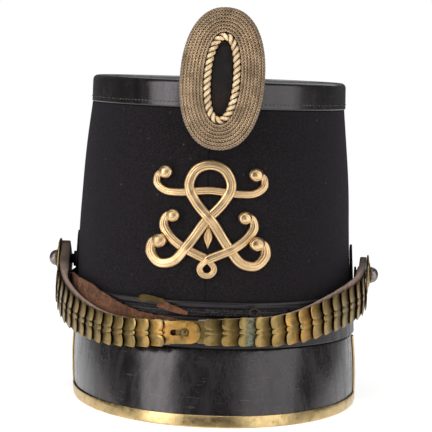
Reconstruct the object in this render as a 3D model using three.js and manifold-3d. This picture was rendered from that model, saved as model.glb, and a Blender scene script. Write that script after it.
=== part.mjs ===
// A shako: a tall felt cap with a leather lid, two peaks, a chin strap of brass scales, a front ornament
// and an oval braid badge. Millimetres, +Z up, the front faces -Y, the floor is z = 0 and the origin is
// under the middle of the hat.
import * as THREE from "three";
import { mergeVertices } from "three/addons/utils/BufferGeometryUtils.js";
import Module from "manifold-3d";

const wasm = await Module();
wasm.setup();

// ---- Driving dimensions ----
const GAP = 0.3; // clear space between pieces that touch on the real hat
const RIM_HEIGHT = 44; // lower rim of the felt body, where the peaks hang
const BAND_TOP = 71.5;
const BAND_THICKNESS = 1.5;
const FELT_THICKNESS = 3;
const LID_BOTTOM = 184.6;
const LID_TOP = 201.3;
const LID_THICKNESS = 1.8;
const LID_EDGE_RADIUS = 3;
const LID_STAND = 0.5; // how far the lid's band stands out from the cloth below it
const PEAK_THICKNESS = 2.6;
const PEAK_END_BEARING = 87;
const GUARD_END_BEARING = 76; // measured from the back
const TRIM_WALL = 0.7;
const TRIM_LIP = 7;
const AROUND = 64; // facets round the hat

// The felt body's outside. The rows run upwards; halfWidth, front and back are measured from the middle of
// the row, which leans sideways by lean.
const bodyRows = [
  { height: RIM_HEIGHT, halfWidth: 87.9, front: 107.4, back: 107.8, lean: 0 },
  { height: BAND_TOP, halfWidth: 87.2, front: 106.0, back: 105.4, lean: -0.7 },
  { height: 100, halfWidth: 86.0, front: 103.4, back: 101.6, lean: -1.4 },
  { height: 125, halfWidth: 84.8, front: 100.8, back: 97.2, lean: -1.8 },
  { height: 150, halfWidth: 83.2, front: 97.8, back: 92.2, lean: -1.9 },
  { height: LID_BOTTOM, halfWidth: 79.8, front: 93.0, back: 84.4, lean: -1.8 },
  { height: LID_TOP, halfWidth: 79.5, front: 92.6, back: 84.0, lean: -1.8 },
];

// The peaks' outside at the rim and at the floor.
const peakRows = [
  { height: 0, halfWidth: 89.0, front: 125.4, back: 122, lean: 1.9 },
  { height: RIM_HEIGHT - GAP, halfWidth: 88.6, front: 108.2, back: 108.6, lean: 0 },
];
const guardRows = [
  { height: 0, halfWidth: 88, front: 110, back: 126.4, lean: 0 },
  { height: RIM_HEIGHT - GAP, halfWidth: 87.5, front: 107.4, back: 107.8, lean: 0 },
];

// ---- Materials ----
function finish(color, roughness, metalness) {
  return new THREE.MeshStandardMaterial({ color, roughness, metalness });
}
const cloth = finish(0x1b1a20, 0.95, 0);
const patent = finish(0x14120f, 0.25, 0);
const brass = finish(0xbea064, 0.35, 1);
const scaleBrass = finish(0x8a7036, 0.45, 1);
const buttonMetal = finish(0x8c8880, 0.4, 1);
const brownLeather = finish(0x82604b, 0.85, 0);
const suede = finish(0x7a5a48, 0.95, 0);
const braid = finish(0xa08a66, 0.5, 0.8);
const velvet = finish(0x0d0c0c, 1, 0);
const gilt = finish(0xe1be8c, 0.35, 1);

// ---- Helpers ----
const hat = new THREE.Group();

// Adds one finished piece to the hat.
function addPiece(name, geometry, material) {
  const mesh = new THREE.Mesh(geometry, material);
  mesh.name = name;
  hat.add(mesh);
  return mesh;
}

function radians(degrees) {
  return THREE.MathUtils.degToRad(degrees);
}

// The row of a table at a value of one of its columns, linear between the rows given.
function rowAt(rows, column, value) {
  const upper = Math.max(1, rows.findIndex((row) => (row[column] - value) * direction(rows, column) >= 0));
  const last = rows[rows.length - 1];
  const beyond = (value - last[column]) * direction(rows, column) > 0;
  const b = beyond ? last : rows[upper];
  const a = beyond ? rows[rows.length - 2] : rows[upper - 1];
  const share = (value - a[column]) / (b[column] - a[column]);
  return Object.fromEntries(Object.keys(a).map((key) => [key, a[key] + (b[key] - a[key]) * share]));
}

function direction(rows, column) {
  return Math.sign(rows[rows.length - 1][column] - rows[0][column]);
}

// A point of the hat's wall. bearing is 0 at the front and grows towards +X; stand is measured outwards.
function wallPoint(rows, height, bearing, stand = 0) {
  const row = rowAt(rows, "height", height);
  const forward = Math.cos(radians(bearing));
  const reach = (forward > 0 ? row.front : row.back) + stand;
  return new THREE.Vector3(
    row.lean + (row.halfWidth + stand) * Math.sin(radians(bearing)),
    -reach * forward,
    height,
  );
}

// The level outward direction of the hat's wall.
function wallNormal(rows, height, bearing) {
  const row = rowAt(rows, "height", height);
  const forward = Math.cos(radians(bearing));
  const reach = forward > 0 ? row.front : row.back;
  return new THREE.Vector3(Math.sin(radians(bearing)) / row.halfWidth, -forward / reach, 0).normalize();
}

// Joins rings of points into one closed solid. The ends are capped, or joined to each other when closed.
// outline is the ring's flat shape, needed for the caps only where the ring isn't convex.
function loft(rings, { closed = false, outline = null } = {}) {
  const count = rings[0].length;
  const positions = rings.flat().flatMap((p) => [p.x, p.y, p.z]);
  const index = [];
  const spans = closed ? rings.length : rings.length - 1;
  for (let i = 0; i < spans; i++) {
    const here = i * count;
    const next = ((i + 1) % rings.length) * count;
    for (let j = 0; j < count; j++) {
      const k = (j + 1) % count;
      index.push(here + j, here + k, next + k, here + j, next + k, next + j);
    }
  }
  if (!closed) {
    const fan = outline
      ? THREE.ShapeUtils.triangulateShape(outline, [])
      : Array.from({ length: count - 2 }, (_, j) => [0, j + 1, j + 2]);
    const facesForward = outline && !THREE.ShapeUtils.isClockWise(outline);
    const lastRing = (rings.length - 1) * count;
    for (const [a, b, c] of fan) {
      const [p, q, r] = outline && !facesForward ? [a, c, b] : [a, b, c];
      index.push(p, r, q);
      index.push(lastRing + p, lastRing + q, lastRing + r);
    }
  }
  const geometry = new THREE.BufferGeometry();
  geometry.setAttribute("position", new THREE.Float32BufferAttribute(positions, 3));
  geometry.setIndex(index);
  return faceOutwards(geometry);
}

// Turns a solid whose faces point inwards the right way round.
function faceOutwards(geometry) {
  const p = geometry.getAttribute("position");
  const index = geometry.getIndex().array;
  const [a, b, c] = [new THREE.Vector3(), new THREE.Vector3(), new THREE.Vector3()];
  let volume = 0;
  for (let i = 0; i < index.length; i += 3) {
    a.fromBufferAttribute(p, index[i]);
    b.fromBufferAttribute(p, index[i + 1]);
    c.fromBufferAttribute(p, index[i + 2]);
    volume += a.dot(b.cross(c));
  }
  if (volume < 0) {
    for (let i = 0; i < index.length; i += 3) {
      [index[i + 1], index[i + 2]] = [index[i + 2], index[i + 1]];
    }
  }
  return geometry;
}

function toManifold(geometry) {
  const bare = new THREE.BufferGeometry();
  bare.setAttribute("position", geometry.getAttribute("position").clone());
  if (geometry.getIndex()) bare.setIndex(geometry.getIndex().clone());
  const merged = mergeVertices(bare, 1e-3);
  return new wasm.Manifold(
    new wasm.Mesh({
      numProp: 3,
      vertProperties: merged.getAttribute("position").array,
      triVerts: new Uint32Array(merged.getIndex().array),
    }),
  );
}

function fromManifold(solid) {
  const mesh = solid.getMesh();
  const geometry = new THREE.BufferGeometry();
  geometry.setAttribute("position", new THREE.BufferAttribute(mesh.vertProperties, 3));
  geometry.setIndex(new THREE.BufferAttribute(mesh.triVerts, 1));
  return geometry;
}

function joined(geometries) {
  return fromManifold(geometries.map(toManifold).reduce((all, next) => all.add(next)));
}

function cut(geometry, tools) {
  const whole = toManifold(geometry);
  return fromManifold(tools.map(toManifold).reduce((left, tool) => left.subtract(tool), whole));
}

function steps(from, to, count) {
  return Array.from({ length: count + 1 }, (_, i) => from + ((to - from) * i) / count);
}

const around = steps(-180, 180, AROUND).slice(0, -1);

// ---- Body, lid and band ----
function makeBodyShell() {
  const shoulder = LID_THICKNESS - LID_STAND + GAP; // the cloth is pinched in under the lid's band
  const underLid = LID_TOP - LID_THICKNESS - GAP;
  const profile = [
    ...bodyRows.slice(0, -2).map((row) => [row.height, 0]),
    [LID_BOTTOM - 0.8, 0],
    [LID_BOTTOM, -shoulder],
    [underLid, -shoulder],
    [underLid, -FELT_THICKNESS],
    [LID_BOTTOM, -FELT_THICKNESS],
    [125, -FELT_THICKNESS],
    [BAND_TOP, -FELT_THICKNESS],
    [RIM_HEIGHT, -FELT_THICKNESS],
  ];
  const rings = around.map((bearing) =>
    profile.map(([height, stand]) => wallPoint(bodyRows, height, bearing, stand)),
  );
  addPiece("body_shell", loft(rings, { closed: true }), cloth);
}

function makeCrownLid() {
  const ring = (height, stand) => around.map((bearing) => wallPoint(bodyRows, height, bearing, stand));
  const inside = LID_STAND - LID_THICKNESS;
  const ceiling = LID_TOP - LID_THICKNESS;
  const corner = [0, 30, 60, 90].map((angle) =>
    ring(
      LID_TOP - LID_EDGE_RADIUS * (1 - Math.sin(radians(angle))),
      LID_STAND - LID_EDGE_RADIUS * (1 - Math.cos(radians(angle))),
    ),
  );
  const rings = [
    ring(ceiling, inside),
    ring(LID_BOTTOM + GAP, inside),
    ring(LID_BOTTOM + GAP, LID_STAND),
    ...corner,
  ];
  addPiece("crown_lid", loft(rings), patent);
}

function makeLowerBand() {
  const profile = [
    [RIM_HEIGHT + GAP, GAP],
    [RIM_HEIGHT + GAP, GAP + BAND_THICKNESS],
    [BAND_TOP, GAP + BAND_THICKNESS],
    [BAND_TOP, GAP],
  ];
  const rings = around.map((bearing) =>
    profile.map(([height, stand]) => wallPoint(bodyRows, height, bearing, stand)),
  );
  addPiece("lower_band", loft(rings, { closed: true }), patent);
}

// ---- Peaks ----
// A leather peak hangs below the rim between two bearings. Its thickness is measured level.
function makePeak(name, rows, bearings, low, material) {
  const high = RIM_HEIGHT - GAP;
  const rings = bearings.map((bearing) =>
    [
      [high, 0],
      [low, 0],
      [low, -PEAK_THICKNESS],
      [high, -PEAK_THICKNESS],
    ].map(([height, stand]) => wallPoint(rows, height, bearing, stand)),
  );
  addPiece(name, loft(rings), material);
}

// The channel's path runs down the peak's left end, along its lower edge and up its right end. Each
// station has the edge's height and bearing, and the way into the leather, as lengths up and sideways.
function makePeakTrim() {
  const mid = -PEAK_THICKNESS / 2;
  const outer = PEAK_THICKNESS / 2 + GAP + TRIM_WALL;
  const inner = PEAK_THICKNESS / 2 + GAP;
  const section = [
    [0, -outer],
    [0, outer],
    [TRIM_LIP, outer],
    [TRIM_LIP, inner],
    [TRIM_WALL, inner],
    [TRIM_WALL, -inner],
    [TRIM_LIP, -inner],
    [TRIM_LIP, -outer],
  ];
  const perDegree = 1.62; // length of the lower edge for each degree of bearing near the ends
  const end = PEAK_END_BEARING;
  const top = RIM_HEIGHT - 2;
  const stations = [
    { height: top, bearing: -end, up: 0, side: 1 },
    { height: 0, bearing: -end, up: 1, side: 1 },
    ...steps(-end, end, 44)
      .slice(1, -1)
      .map((bearing) => ({ height: 0, bearing, up: 1, side: 0 })),
    { height: 0, bearing: end, up: 1, side: -1 },
    { height: top, bearing: end, up: 0, side: -1 },
  ];
  const rings = stations.map(({ height, bearing, up, side }) =>
    section.map(([into, across]) =>
      wallPoint(peakRows, height + up * into, bearing + (side * into) / perDegree, mid + across),
    ),
  );
  const outline = section.map(([into, across]) => new THREE.Vector2(into, across));
  addPiece("peak_trim", loft(rings, { outline }), brass);
}

function makePeaks() {
  const inset = TRIM_WALL + GAP;
  const frontEnd = PEAK_END_BEARING - 0.8;
  makePeak("front_peak", peakRows, steps(-frontEnd, frontEnd, 44), inset, patent);
  makePeakTrim();
  makePeak("neck_guard", guardRows, steps(180 - GUARD_END_BEARING, 180 + GUARD_END_BEARING, 36), 0, patent);
}

// ---- Chin strap ----
const POST_RADIUS = 3;
const BOSS_RADIUS = 13;
const BUTTON = { radius: 5.3, edge: 0.8, dome: 4.2 };
const LEATHER_THICKNESS = 2;
const SCALE_THICKNESS = 0.7;
const SCALE_LENGTH = 14.5;
const SCALE_TILT = 7.4;
const LOBE_DEPTH = 2.2;
const TAB_THICKNESS = 1.5;
// How much thicker each tab is below its boss.
const TAB_SWELL = { left: 2.7, right: 0.8 };
// From the cloth to the middle of the strap's leather at each boss.
const BOSS_STAND = { left: 10, right: 6.8 };

// The middle line of each half of the strap, from its boss to the middle of the front.
const strapRows = {
  left: [
    { bearing: 90, height: 83, stand: BOSS_STAND.left },
    { bearing: 86.5, height: 75.3, stand: 10.3 },
    { bearing: 82, height: 69.3, stand: 10.4 },
    { bearing: 75, height: 63, stand: 9.4 },
    { bearing: 65, height: 57, stand: 7.3 },
    { bearing: 53, height: 52.8, stand: 5.4 },
    { bearing: 41, height: 50.8, stand: 4.7 },
    { bearing: 27, height: 51, stand: 4.6 },
    { bearing: 12, height: 53.2, stand: 4.6 },
    { bearing: 2, height: 54.2, stand: 4.6 },
  ],
  right: [
    { bearing: 90, height: 80, stand: BOSS_STAND.right },
    { bearing: 83, height: 74.4, stand: 6.9 },
    { bearing: 75, height: 70.4, stand: 7.0 },
    { bearing: 66, height: 67.2, stand: 6.0 },
    { bearing: 51, height: 62.6, stand: 4.4 },
    { bearing: 37, height: 57.8, stand: 3.6 },
    { bearing: 25, height: 55.3, stand: 3.4 },
    { bearing: 13, height: 55.0, stand: 3.4 },
    { bearing: 2, height: 54.4, stand: 3.4 },
    { bearing: -14, height: 54.2, stand: 3.4 },
  ],
};

// How tall the scales are, by the share of the way from the boss to the middle.
const scaleHeightRows = [
  { share: 0, height: 24 },
  { share: 0.3, height: 23.5 },
  { share: 0.7, height: 18.5 },
  { share: 1, height: 14.6 },
];

class StrapPath {
  constructor(side) {
    this.turn = side === "left" ? -1 : 1;
    this.rows = strapRows[side];
    this.curve = new THREE.CatmullRomCurve3(
      this.rows.map((row) =>
        wallPoint(bodyRows, RIM_HEIGHT, this.turn * row.bearing, row.stand).setZ(row.height),
      ),
      false,
      "centripetal",
    );
    this.length = this.curve.getLength();
  }

  // A frame at a distance from the boss: along runs to the middle of the front, out points off the hat
  // and across is the strap's width. A distance under 0 lies on the straight stretch above the boss.
  frameAt(distance) {
    const share = THREE.MathUtils.clamp(distance / this.length, 0, 1);
    const along = this.curve.getTangentAt(share);
    const point = this.curve.getPointAt(share).addScaledVector(along, distance - share * this.length);
    const { halfWidth, front } = bodyRows[0];
    const out = new THREE.Vector3(point.x / halfWidth ** 2, point.y / front ** 2, 0).normalize();
    out.addScaledVector(along, -out.dot(along)).normalize();
    const across = new THREE.Vector3().crossVectors(out, along);
    if (across.z * this.turn > 0) across.negate();
    return { point, along, out, across };
  }

  place(distance, across, out) {
    const frame = this.frameAt(distance);
    return frame.point.clone().addScaledVector(frame.across, across).addScaledVector(frame.out, out);
  }

  // The distance from the boss at which the strap reaches a sideways place on the front.
  distanceAtX(x) {
    let [low, high] = [this.length / 2, this.length];
    for (let i = 0; i < 30; i++) {
      const middle = (low + high) / 2;
      if ((this.curve.getPointAt(middle / this.length).x - x) * this.turn > 0) low = middle;
      else high = middle;
    }
    return low;
  }
}

// A flat strip that follows the strap: rows give its distance from the boss, its half height, its inner
// and outer faces, measured from the middle of the leather, and how much higher its upper edge lies.
function stripAlong(path, rows) {
  const rings = rows.map(({ distance, half, crest = 0, inner, outer }) => {
    const [low, high] = path.turn < 0 ? [-half, half + crest] : [-half - crest, half];
    return [
      path.place(distance, low, inner),
      path.place(distance, high, inner),
      path.place(distance, high, outer),
      path.place(distance, low, outer),
    ];
  });
  return loft(rings);
}

function roundEnd(centre, radius, half) {
  return steps(0, 1, 5).map((share) => {
    const angle = radians(8 + 82 * share);
    return { distance: centre - radius * Math.cos(angle), half: half * Math.sin(angle) };
  });
}

// The leather is padded on its inner side by the boss, and thins to one layer further along.
const PADDING = { left: 3.5, right: 2 };
const paddingRows = [
  { distance: -BOSS_RADIUS, share: 1 },
  { distance: 26, share: 1 },
  { distance: 44, share: 0 },
  { distance: 400, share: 0 },
];

// How far the leather's upper edge stands above the scales, past the boss.
const crestRows = [
  { distance: -BOSS_RADIUS, crest: 0 },
  { distance: 6, crest: 0 },
  { distance: 22, crest: 4.2 },
  { distance: 40, crest: 3.2 },
  { distance: 70, crest: 1.6 },
  { distance: 110, crest: 0 },
  { distance: 400, crest: 0 },
];

function makeStrapLeather(side, path, endDistance) {
  const narrow = 0.8; // the leather is a little lower than the scales on it
  const face = LEATHER_THICKNESS / 2;
  const run = steps(2, endDistance, 30).map((distance) => ({
    distance,
    half: rowAt(scaleHeightRows, "share", distance / path.length).height / 2 - narrow,
  }));
  const rows = [...roundEnd(0, BOSS_RADIUS - 1.5, BOSS_RADIUS - 1.7), ...run];
  const layered = rows.map((row) => {
    const { share } = rowAt(paddingRows, "distance", row.distance);
    const { crest } = rowAt(crestRows, "distance", row.distance);
    return { ...row, crest, inner: -face - share * PADDING[side], outer: face };
  });
  const strip = stripAlong(path, layered);
  const postHole = bossRod(side, path, POST_RADIUS + GAP, 90, 100);
  addPiece(`strap_leather_${side}`, cut(strip, [postHole]), brownLeather);
}

// A round rod along the boss's level axis, between two distances from the hat's middle plane.
function bossRod(side, path, radius, from, to) {
  const rod = new THREE.CylinderGeometry(radius, radius, to - from, 20);
  rod.rotateZ(-Math.PI / 2);
  rod.translate((from + to) / 2, 0, path.rows[0].height);
  if (side === "left") rod.rotateZ(Math.PI);
  return rod;
}

// A turned piece on the boss's axis. Its profile gives radius and distance from the hat's middle plane.
function bossTurning(side, path, profile) {
  const turning = new THREE.LatheGeometry(profile.map(([radius, at]) => new THREE.Vector2(radius, at)), 28);
  turning.rotateZ(-Math.PI / 2);
  if (side === "left") turning.rotateZ(Math.PI);
  turning.translate(0, 0, path.rows[0].height);
  return turning;
}

function makeBoss(side, path) {
  const leatherOut = bodyRows[0].halfWidth + BOSS_STAND[side] + LEATHER_THICKNESS / 2;
  const tabFace = wallPoint(bodyRows, path.rows[0].height - 5, 90 * path.turn, TAB_THICKNESS + 2 * GAP);
  const tabOut = Math.abs(tabFace.x);
  const discIn = leatherOut + 2 * GAP;
  const discOut = discIn + 2.2;
  const hole = POST_RADIUS + GAP;
  addPiece(
    `boss_post_${side}`,
    bossTurning(side, path, [
      [0, tabOut],
      [5, tabOut],
      [5, tabOut + 1.2],
      [POST_RADIUS, tabOut + 1.2],
      [POST_RADIUS, discOut],
      [0, discOut],
    ]),
    scaleBrass,
  );
  addPiece(
    `boss_disc_${side}`,
    bossTurning(side, path, [
      [hole, discIn],
      [BOSS_RADIUS - 0.6, discIn],
      [BOSS_RADIUS, discIn + 0.6],
      [BOSS_RADIUS - 1.4, discIn + 1.5],
      [8, discIn + 1.7],
      [6.5, discOut],
      [hole, discOut],
      [hole, discIn],
    ]),
    scaleBrass,
  );
  const domeBase = discOut + GAP;
  const dome = steps(0, 90, 6).map((angle) => [
    BUTTON.radius * Math.cos(radians(angle)),
    domeBase + BUTTON.edge + BUTTON.dome * Math.sin(radians(angle)),
  ]);
  const top = [0, domeBase + BUTTON.edge + BUTTON.dome];
  const profile = [[0, domeBase], [BUTTON.radius, domeBase], ...dome.slice(0, -1), top];
  addPiece(`boss_button_${side}`, bossTurning(side, path, profile), buttonMetal);
}

// One chin scale, flat, with its lobed edge at x = 0 and its plain end behind it.
function scaleGeometry(height) {
  const half = height / 2;
  const small = 0.15 * height;
  const large = (half - small) / 2;
  const shape = new THREE.Shape();
  shape.moveTo(-SCALE_LENGTH, -half + 1);
  shape.lineTo(-LOBE_DEPTH, -half);
  shape.absellipse(-LOBE_DEPTH, -small - large, LOBE_DEPTH, large, -Math.PI / 2, Math.PI / 2);
  shape.absellipse(-LOBE_DEPTH, 0, LOBE_DEPTH * 0.9, small, -Math.PI / 2, Math.PI / 2);
  shape.absellipse(-LOBE_DEPTH, small + large, LOBE_DEPTH, large, -Math.PI / 2, Math.PI / 2);
  shape.lineTo(-SCALE_LENGTH, half - 1);
  shape.closePath();
  const options = { depth: SCALE_THICKNESS, bevelEnabled: false, curveSegments: 5 };
  return new THREE.ExtrudeGeometry(shape, options);
}

// The scales lie like roof tiles: each lobed edge rests on the next scale towards the middle.
function makeScales(side, path, count, lastEdge) {
  const firstEdge = 29;
  const pitch = (lastEdge - firstEdge) / (count - 1);
  const tilt = new THREE.Matrix4().makeRotationY(-radians(SCALE_TILT));
  for (let i = 0; i < count; i++) {
    const edge = firstEdge + pitch * i;
    const frame = path.frameAt(edge - SCALE_LENGTH / 2);
    const height = rowAt(scaleHeightRows, "share", edge / path.length).height;
    const geometry = scaleGeometry(height);
    geometry.translate(SCALE_LENGTH / 2, 0, 0);
    geometry.applyMatrix4(tilt);
    const rise = (SCALE_LENGTH / 2) * Math.sin(radians(SCALE_TILT));
    const lift = LEATHER_THICKNESS / 2 + 1.5 * GAP + rise;
    const mesh = addPiece(`scale_${side}_${String(i + 1).padStart(2, "0")}`, geometry, scaleBrass);
    const across = new THREE.Vector3().crossVectors(frame.out, frame.along);
    mesh.quaternion.setFromRotationMatrix(new THREE.Matrix4().makeBasis(frame.along, across, frame.out));
    mesh.position.copy(frame.point).addScaledVector(frame.out, lift);
  }
}

// The slotted tongue of the left half lies over the plain plate of the right half.
function makeEndPlates(left, right) {
  const half = 6.8;
  const face = LEATHER_THICKNESS / 2 + GAP;
  const from = left.distanceAtX(-29);
  const to = left.distanceAtX(-3);
  const run = steps(from, to - half, 5).map((distance) => ({ distance, half }));
  const nose = steps(15, 82, 4).map((angle) => ({
    distance: to - half + half * Math.sin(radians(angle)),
    half: half * Math.cos(radians(angle)),
  }));
  const tongue = stripAlong(
    left,
    [...run, ...nose].map((row) => ({ ...row, inner: face, outer: face + SCALE_THICKNESS })),
  );
  const slotHalf = 1.8;
  const slot = stripAlong(
    left,
    [-21, -10.6].map((x) => ({ distance: left.distanceAtX(x), half: slotHalf, inner: 0, outer: 4 })),
  );
  addPiece("end_plate_left", cut(tongue, [slot]), scaleBrass);

  const plateRows = steps(right.distanceAtX(3.5), right.distanceAtX(-18), 5).map((distance) => ({
    distance,
    half: half - 0.4,
    inner: face,
    outer: face + SCALE_THICKNESS,
  }));
  addPiece("end_plate_right", stripAlong(right, plateRows), scaleBrass);

  const frame = left.frameAt(left.distanceAtX(-12.8));
  const profile = [
    [0, 0.85],
    [1.2, 0.85],
    [1.2, 2.4],
    [2.3, 2.4],
    [2.1, 3.2],
    [1.3, 3.8],
    [0, 4.0],
  ].map(([radius, out]) => new THREE.Vector2(radius, out));
  const stud = addPiece("strap_stud", new THREE.LatheGeometry(profile, 14), scaleBrass);
  stud.position.copy(frame.point);
  stud.quaternion.setFromUnitVectors(new THREE.Vector3(0, 1, 0), frame.out);
}

// The suede lining has come away from the left half and stands up behind it.
const liningRows = [
  { bearing: -84, upper: 73.5, lower: 60, stand: 4.7 },
  { bearing: -76, upper: 77, lower: 57, stand: 3.6 },
  { bearing: -66, upper: 76.8, lower: 54, stand: 3.5 },
  { bearing: -55, upper: 75.2, lower: 53, stand: 3.2 },
  { bearing: -44, upper: 70.4, lower: 52, stand: 2.7 },
  { bearing: -33, upper: 65.4, lower: 51.5, stand: 2.7 },
  { bearing: -24, upper: 62.8, lower: 51.5, stand: 2.7 },
  { bearing: -11, upper: 61.2, lower: 52, stand: 2.7 },
];
const LINING_THICKNESS = 1.1;

function makeLining() {
  const bearings = steps(-84, -11, 26);
  const rings = bearings.map((bearing) => {
    const row = rowAt(liningRows, "bearing", bearing);
    const inner = row.stand - LINING_THICKNESS / 2;
    const outer = row.stand + LINING_THICKNESS / 2;
    return [
      [row.lower, inner],
      [row.lower, outer],
      [row.upper, outer],
      [row.upper, inner],
    ].map(([height, stand]) => wallPoint(bodyRows, RIM_HEIGHT, bearing, stand).setZ(height));
  });
  addPiece("strap_lining", loft(rings), suede);
}

// A thin tongue torn from the lining lies on the band, and a small loop stands right of the middle.
const tongueRows = [
  { bearing: -25, upper: 74.4, lower: 69.8 },
  { bearing: -17, upper: 71.0, lower: 66.2 },
  { bearing: -12, upper: 68.2, lower: 64.4 },
  { bearing: -8, upper: 66.2, lower: 63.6 },
];

function makeTongueAndLoop() {
  const stand = GAP + BAND_THICKNESS + GAP;
  const rings = steps(-25, -8, 8).map((bearing) => {
    const row = rowAt(tongueRows, "bearing", bearing);
    return [
      [row.lower, stand],
      [row.lower, stand + 1],
      [row.upper, stand + 1],
      [row.upper, stand],
    ].map(([height, out]) => wallPoint(bodyRows, RIM_HEIGHT, bearing, out).setZ(height));
  });
  addPiece("lining_tongue", loft(rings), suede);

  const loop = new THREE.TorusGeometry(2.6, 0.6, 8, 16);
  loop.scale(1.1, 0.8, 1);
  loop.rotateX(Math.PI / 2);
  const mesh = addPiece("band_loop", loop, scaleBrass);
  mesh.position.copy(wallPoint(bodyRows, RIM_HEIGHT, 17.5, stand + 0.8).setZ(66.2));
  mesh.rotation.z = radians(17);
}

// A leather tab on the side of the body, behind each boss.
function makeSideTab(side, top) {
  const turn = side === "left" ? -90 : 90;
  const halfTurn = 5.4;
  const bossHeight = strapRows[side][0].height;
  const swell = TAB_SWELL[side];
  const rows = [
    { height: BAND_TOP + GAP, half: halfTurn, swell },
    { height: bossHeight - 7.5, half: halfTurn, swell },
    { height: bossHeight - 6, half: halfTurn },
    { height: bossHeight + 5, half: halfTurn },
    { height: top - 8, half: halfTurn },
    { height: top - 3, half: 4.4 },
    { height: top - 0.8, half: 2.6 },
    { height: top, half: 1.2 },
  ];
  const rings = rows.map(({ height, half, swell: extra = 0 }) => {
    const across = steps(-half, half, 4);
    const outer = GAP + TAB_THICKNESS + extra;
    return [
      ...across.map((offset) => wallPoint(bodyRows, height, turn + offset, GAP)),
      ...across.reverse().map((offset) => wallPoint(bodyRows, height, turn + offset, outer)),
    ];
  });
  addPiece(`side_tab_${side}`, loft(rings), patent);
}

function makeChinStrap() {
  const left = new StrapPath("left");
  const right = new StrapPath("right");
  makeSideTab("left", 101.5);
  makeSideTab("right", 99);
  makeBoss("left", left);
  makeBoss("right", right);
  makeStrapLeather("left", left, left.distanceAtX(-22));
  makeStrapLeather("right", right, right.distanceAtX(-5));
  makeScales("left", left, 14, left.distanceAtX(-24));
  makeScales("right", right, 15, right.distanceAtX(-1.8));
  makeEndPlates(left, right);
  makeLining();
  makeTongueAndLoop();
}

// ---- Badge ----
const BADGE = { height: 84, width: 50, centreX: 3.2, centreZ: 202.5, back: 96.4, lean: 3.8, roll: 2.3 };
const CORD_OVAL = { height: 49.5, width: 17.5, radius: 2.6, play: 0.75 };

const OVAL_POWER = 2.25; // 2 is a plain ellipse; more is fuller

function ovalRing(height, width, depth, count = 40) {
  return steps(0, 360, count)
    .slice(0, -1)
    .map((angle) => {
      const s = Math.sin(radians(angle));
      const c = Math.cos(radians(angle));
      return new THREE.Vector3(
        (width / 2) * Math.sign(s) * Math.abs(s) ** (2 / OVAL_POWER),
        -depth,
        (height / 2) * Math.sign(c) * Math.abs(c) ** (2 / OVAL_POWER),
      );
    });
}

function makeBadge() {
  const group = new THREE.Group();
  group.position.set(BADGE.centreX, -BADGE.back, BADGE.centreZ);
  group.rotation.set(-radians(BADGE.lean), radians(BADGE.roll), 0);
  hat.add(group);
  const add = (name, geometry, material) => {
    const mesh = new THREE.Mesh(geometry, material);
    mesh.name = name;
    group.add(mesh);
  };

  // The rows run from the back, round the rim and up the domed front to the pocket for the cord.
  const pocket = CORD_OVAL.radius * 2 + 2 * CORD_OVAL.play;
  const pocketHeight = CORD_OVAL.height + pocket;
  const pocketWidth = CORD_OVAL.width + pocket;
  const bodyProfile = [
    { height: BADGE.height - 3, width: BADGE.width - 3, depth: 0 },
    { height: BADGE.height, width: BADGE.width, depth: 1.2 },
    { height: BADGE.height, width: BADGE.width, depth: 4 },
    { height: BADGE.height - 5, width: BADGE.width - 5, depth: 6.2 },
    { height: BADGE.height - 15, width: BADGE.width - 14, depth: 8.2 },
    { height: pocketHeight + 1, width: pocketWidth + 1, depth: 9.2 },
    { height: pocketHeight, width: pocketWidth, depth: 9.2 },
    { height: pocketHeight, width: pocketWidth, depth: 4 },
  ];
  add("badge_body", loft(bodyProfile.map((row) => ovalRing(row.height, row.width, row.depth))), braid);

  const cordDepth = 4 + GAP + CORD_OVAL.radius;
  const cordRings = ovalRing(CORD_OVAL.height, CORD_OVAL.width, cordDepth).map((point, i, all) => {
    const along = all[(i + 1) % all.length].clone().sub(all[(i + all.length - 1) % all.length]).normalize();
    const out = new THREE.Vector3(0, -1, 0);
    const side = new THREE.Vector3().crossVectors(along, out);
    return steps(0, 360, 8)
      .slice(0, -1)
      .map((angle) =>
        point
          .clone()
          .addScaledVector(out, CORD_OVAL.radius * Math.cos(radians(angle)))
          .addScaledVector(side, CORD_OVAL.radius * Math.sin(radians(angle))),
      );
  });
  add("badge_cord", loft(cordRings, { closed: true }), braid);

  const centre = CORD_OVAL.radius * 2 + 2 * CORD_OVAL.play;
  const centreRings = [4 + GAP, 7].map((depth) =>
    ovalRing(CORD_OVAL.height - centre, CORD_OVAL.width - centre, depth, 32),
  );
  add("badge_centre", loft(centreRings), velvet);

  const post = new THREE.CylinderGeometry(3, 3, 1.6, 16);
  post.translate(0, 1.1, -24);
  add("badge_post", post, buttonMetal);
}

// ---- Front ornament ----
const ORNAMENT = { centreZ: 119.8, lean: -1.6, stand: 0.5, relief: 2.4 };

// Half of the symmetric scrollwork, right of the middle line. Each strand starts in a ball and is a run of
// points sideways and up from the ornament's centre; half is half its width.
const strands = [
  {
    name: "great_scroll",
    ball: 4.2,
    half: 3.1,
    run: [
      [27.6, -13.6], [32.4, -14.2], [33.6, -20.4], [28.4, -26.6], [20.0, -25.4], [11.6, -15.6], [2.2, -1.6],
      [-8.4, 10.6], [-12.2, 20.4], [-8.2, 29.0], [0, 32.0],
    ],
  },
  {
    name: "upper_scroll",
    ball: 3.9,
    half: 2.4,
    run: [[25.6, 27.0], [30.4, 25.6], [31.2, 20.2], [26.4, 16.0], [18.0, 15.2], [9.0, 16.2], [0, 17.0]],
  },
  {
    name: "middle_scroll",
    ball: 3.8,
    half: 2.8,
    run: [
      [20.4, 1.6], [24.6, 1.4], [26.4, -4.0], [22.6, -10.6], [14.4, -17.0], [6.4, -20.8], [-0.6, -24.2],
      [-4.2, -28.8], [-2.6, -32.2], [0, -33.0],
    ],
  },
];

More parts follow.
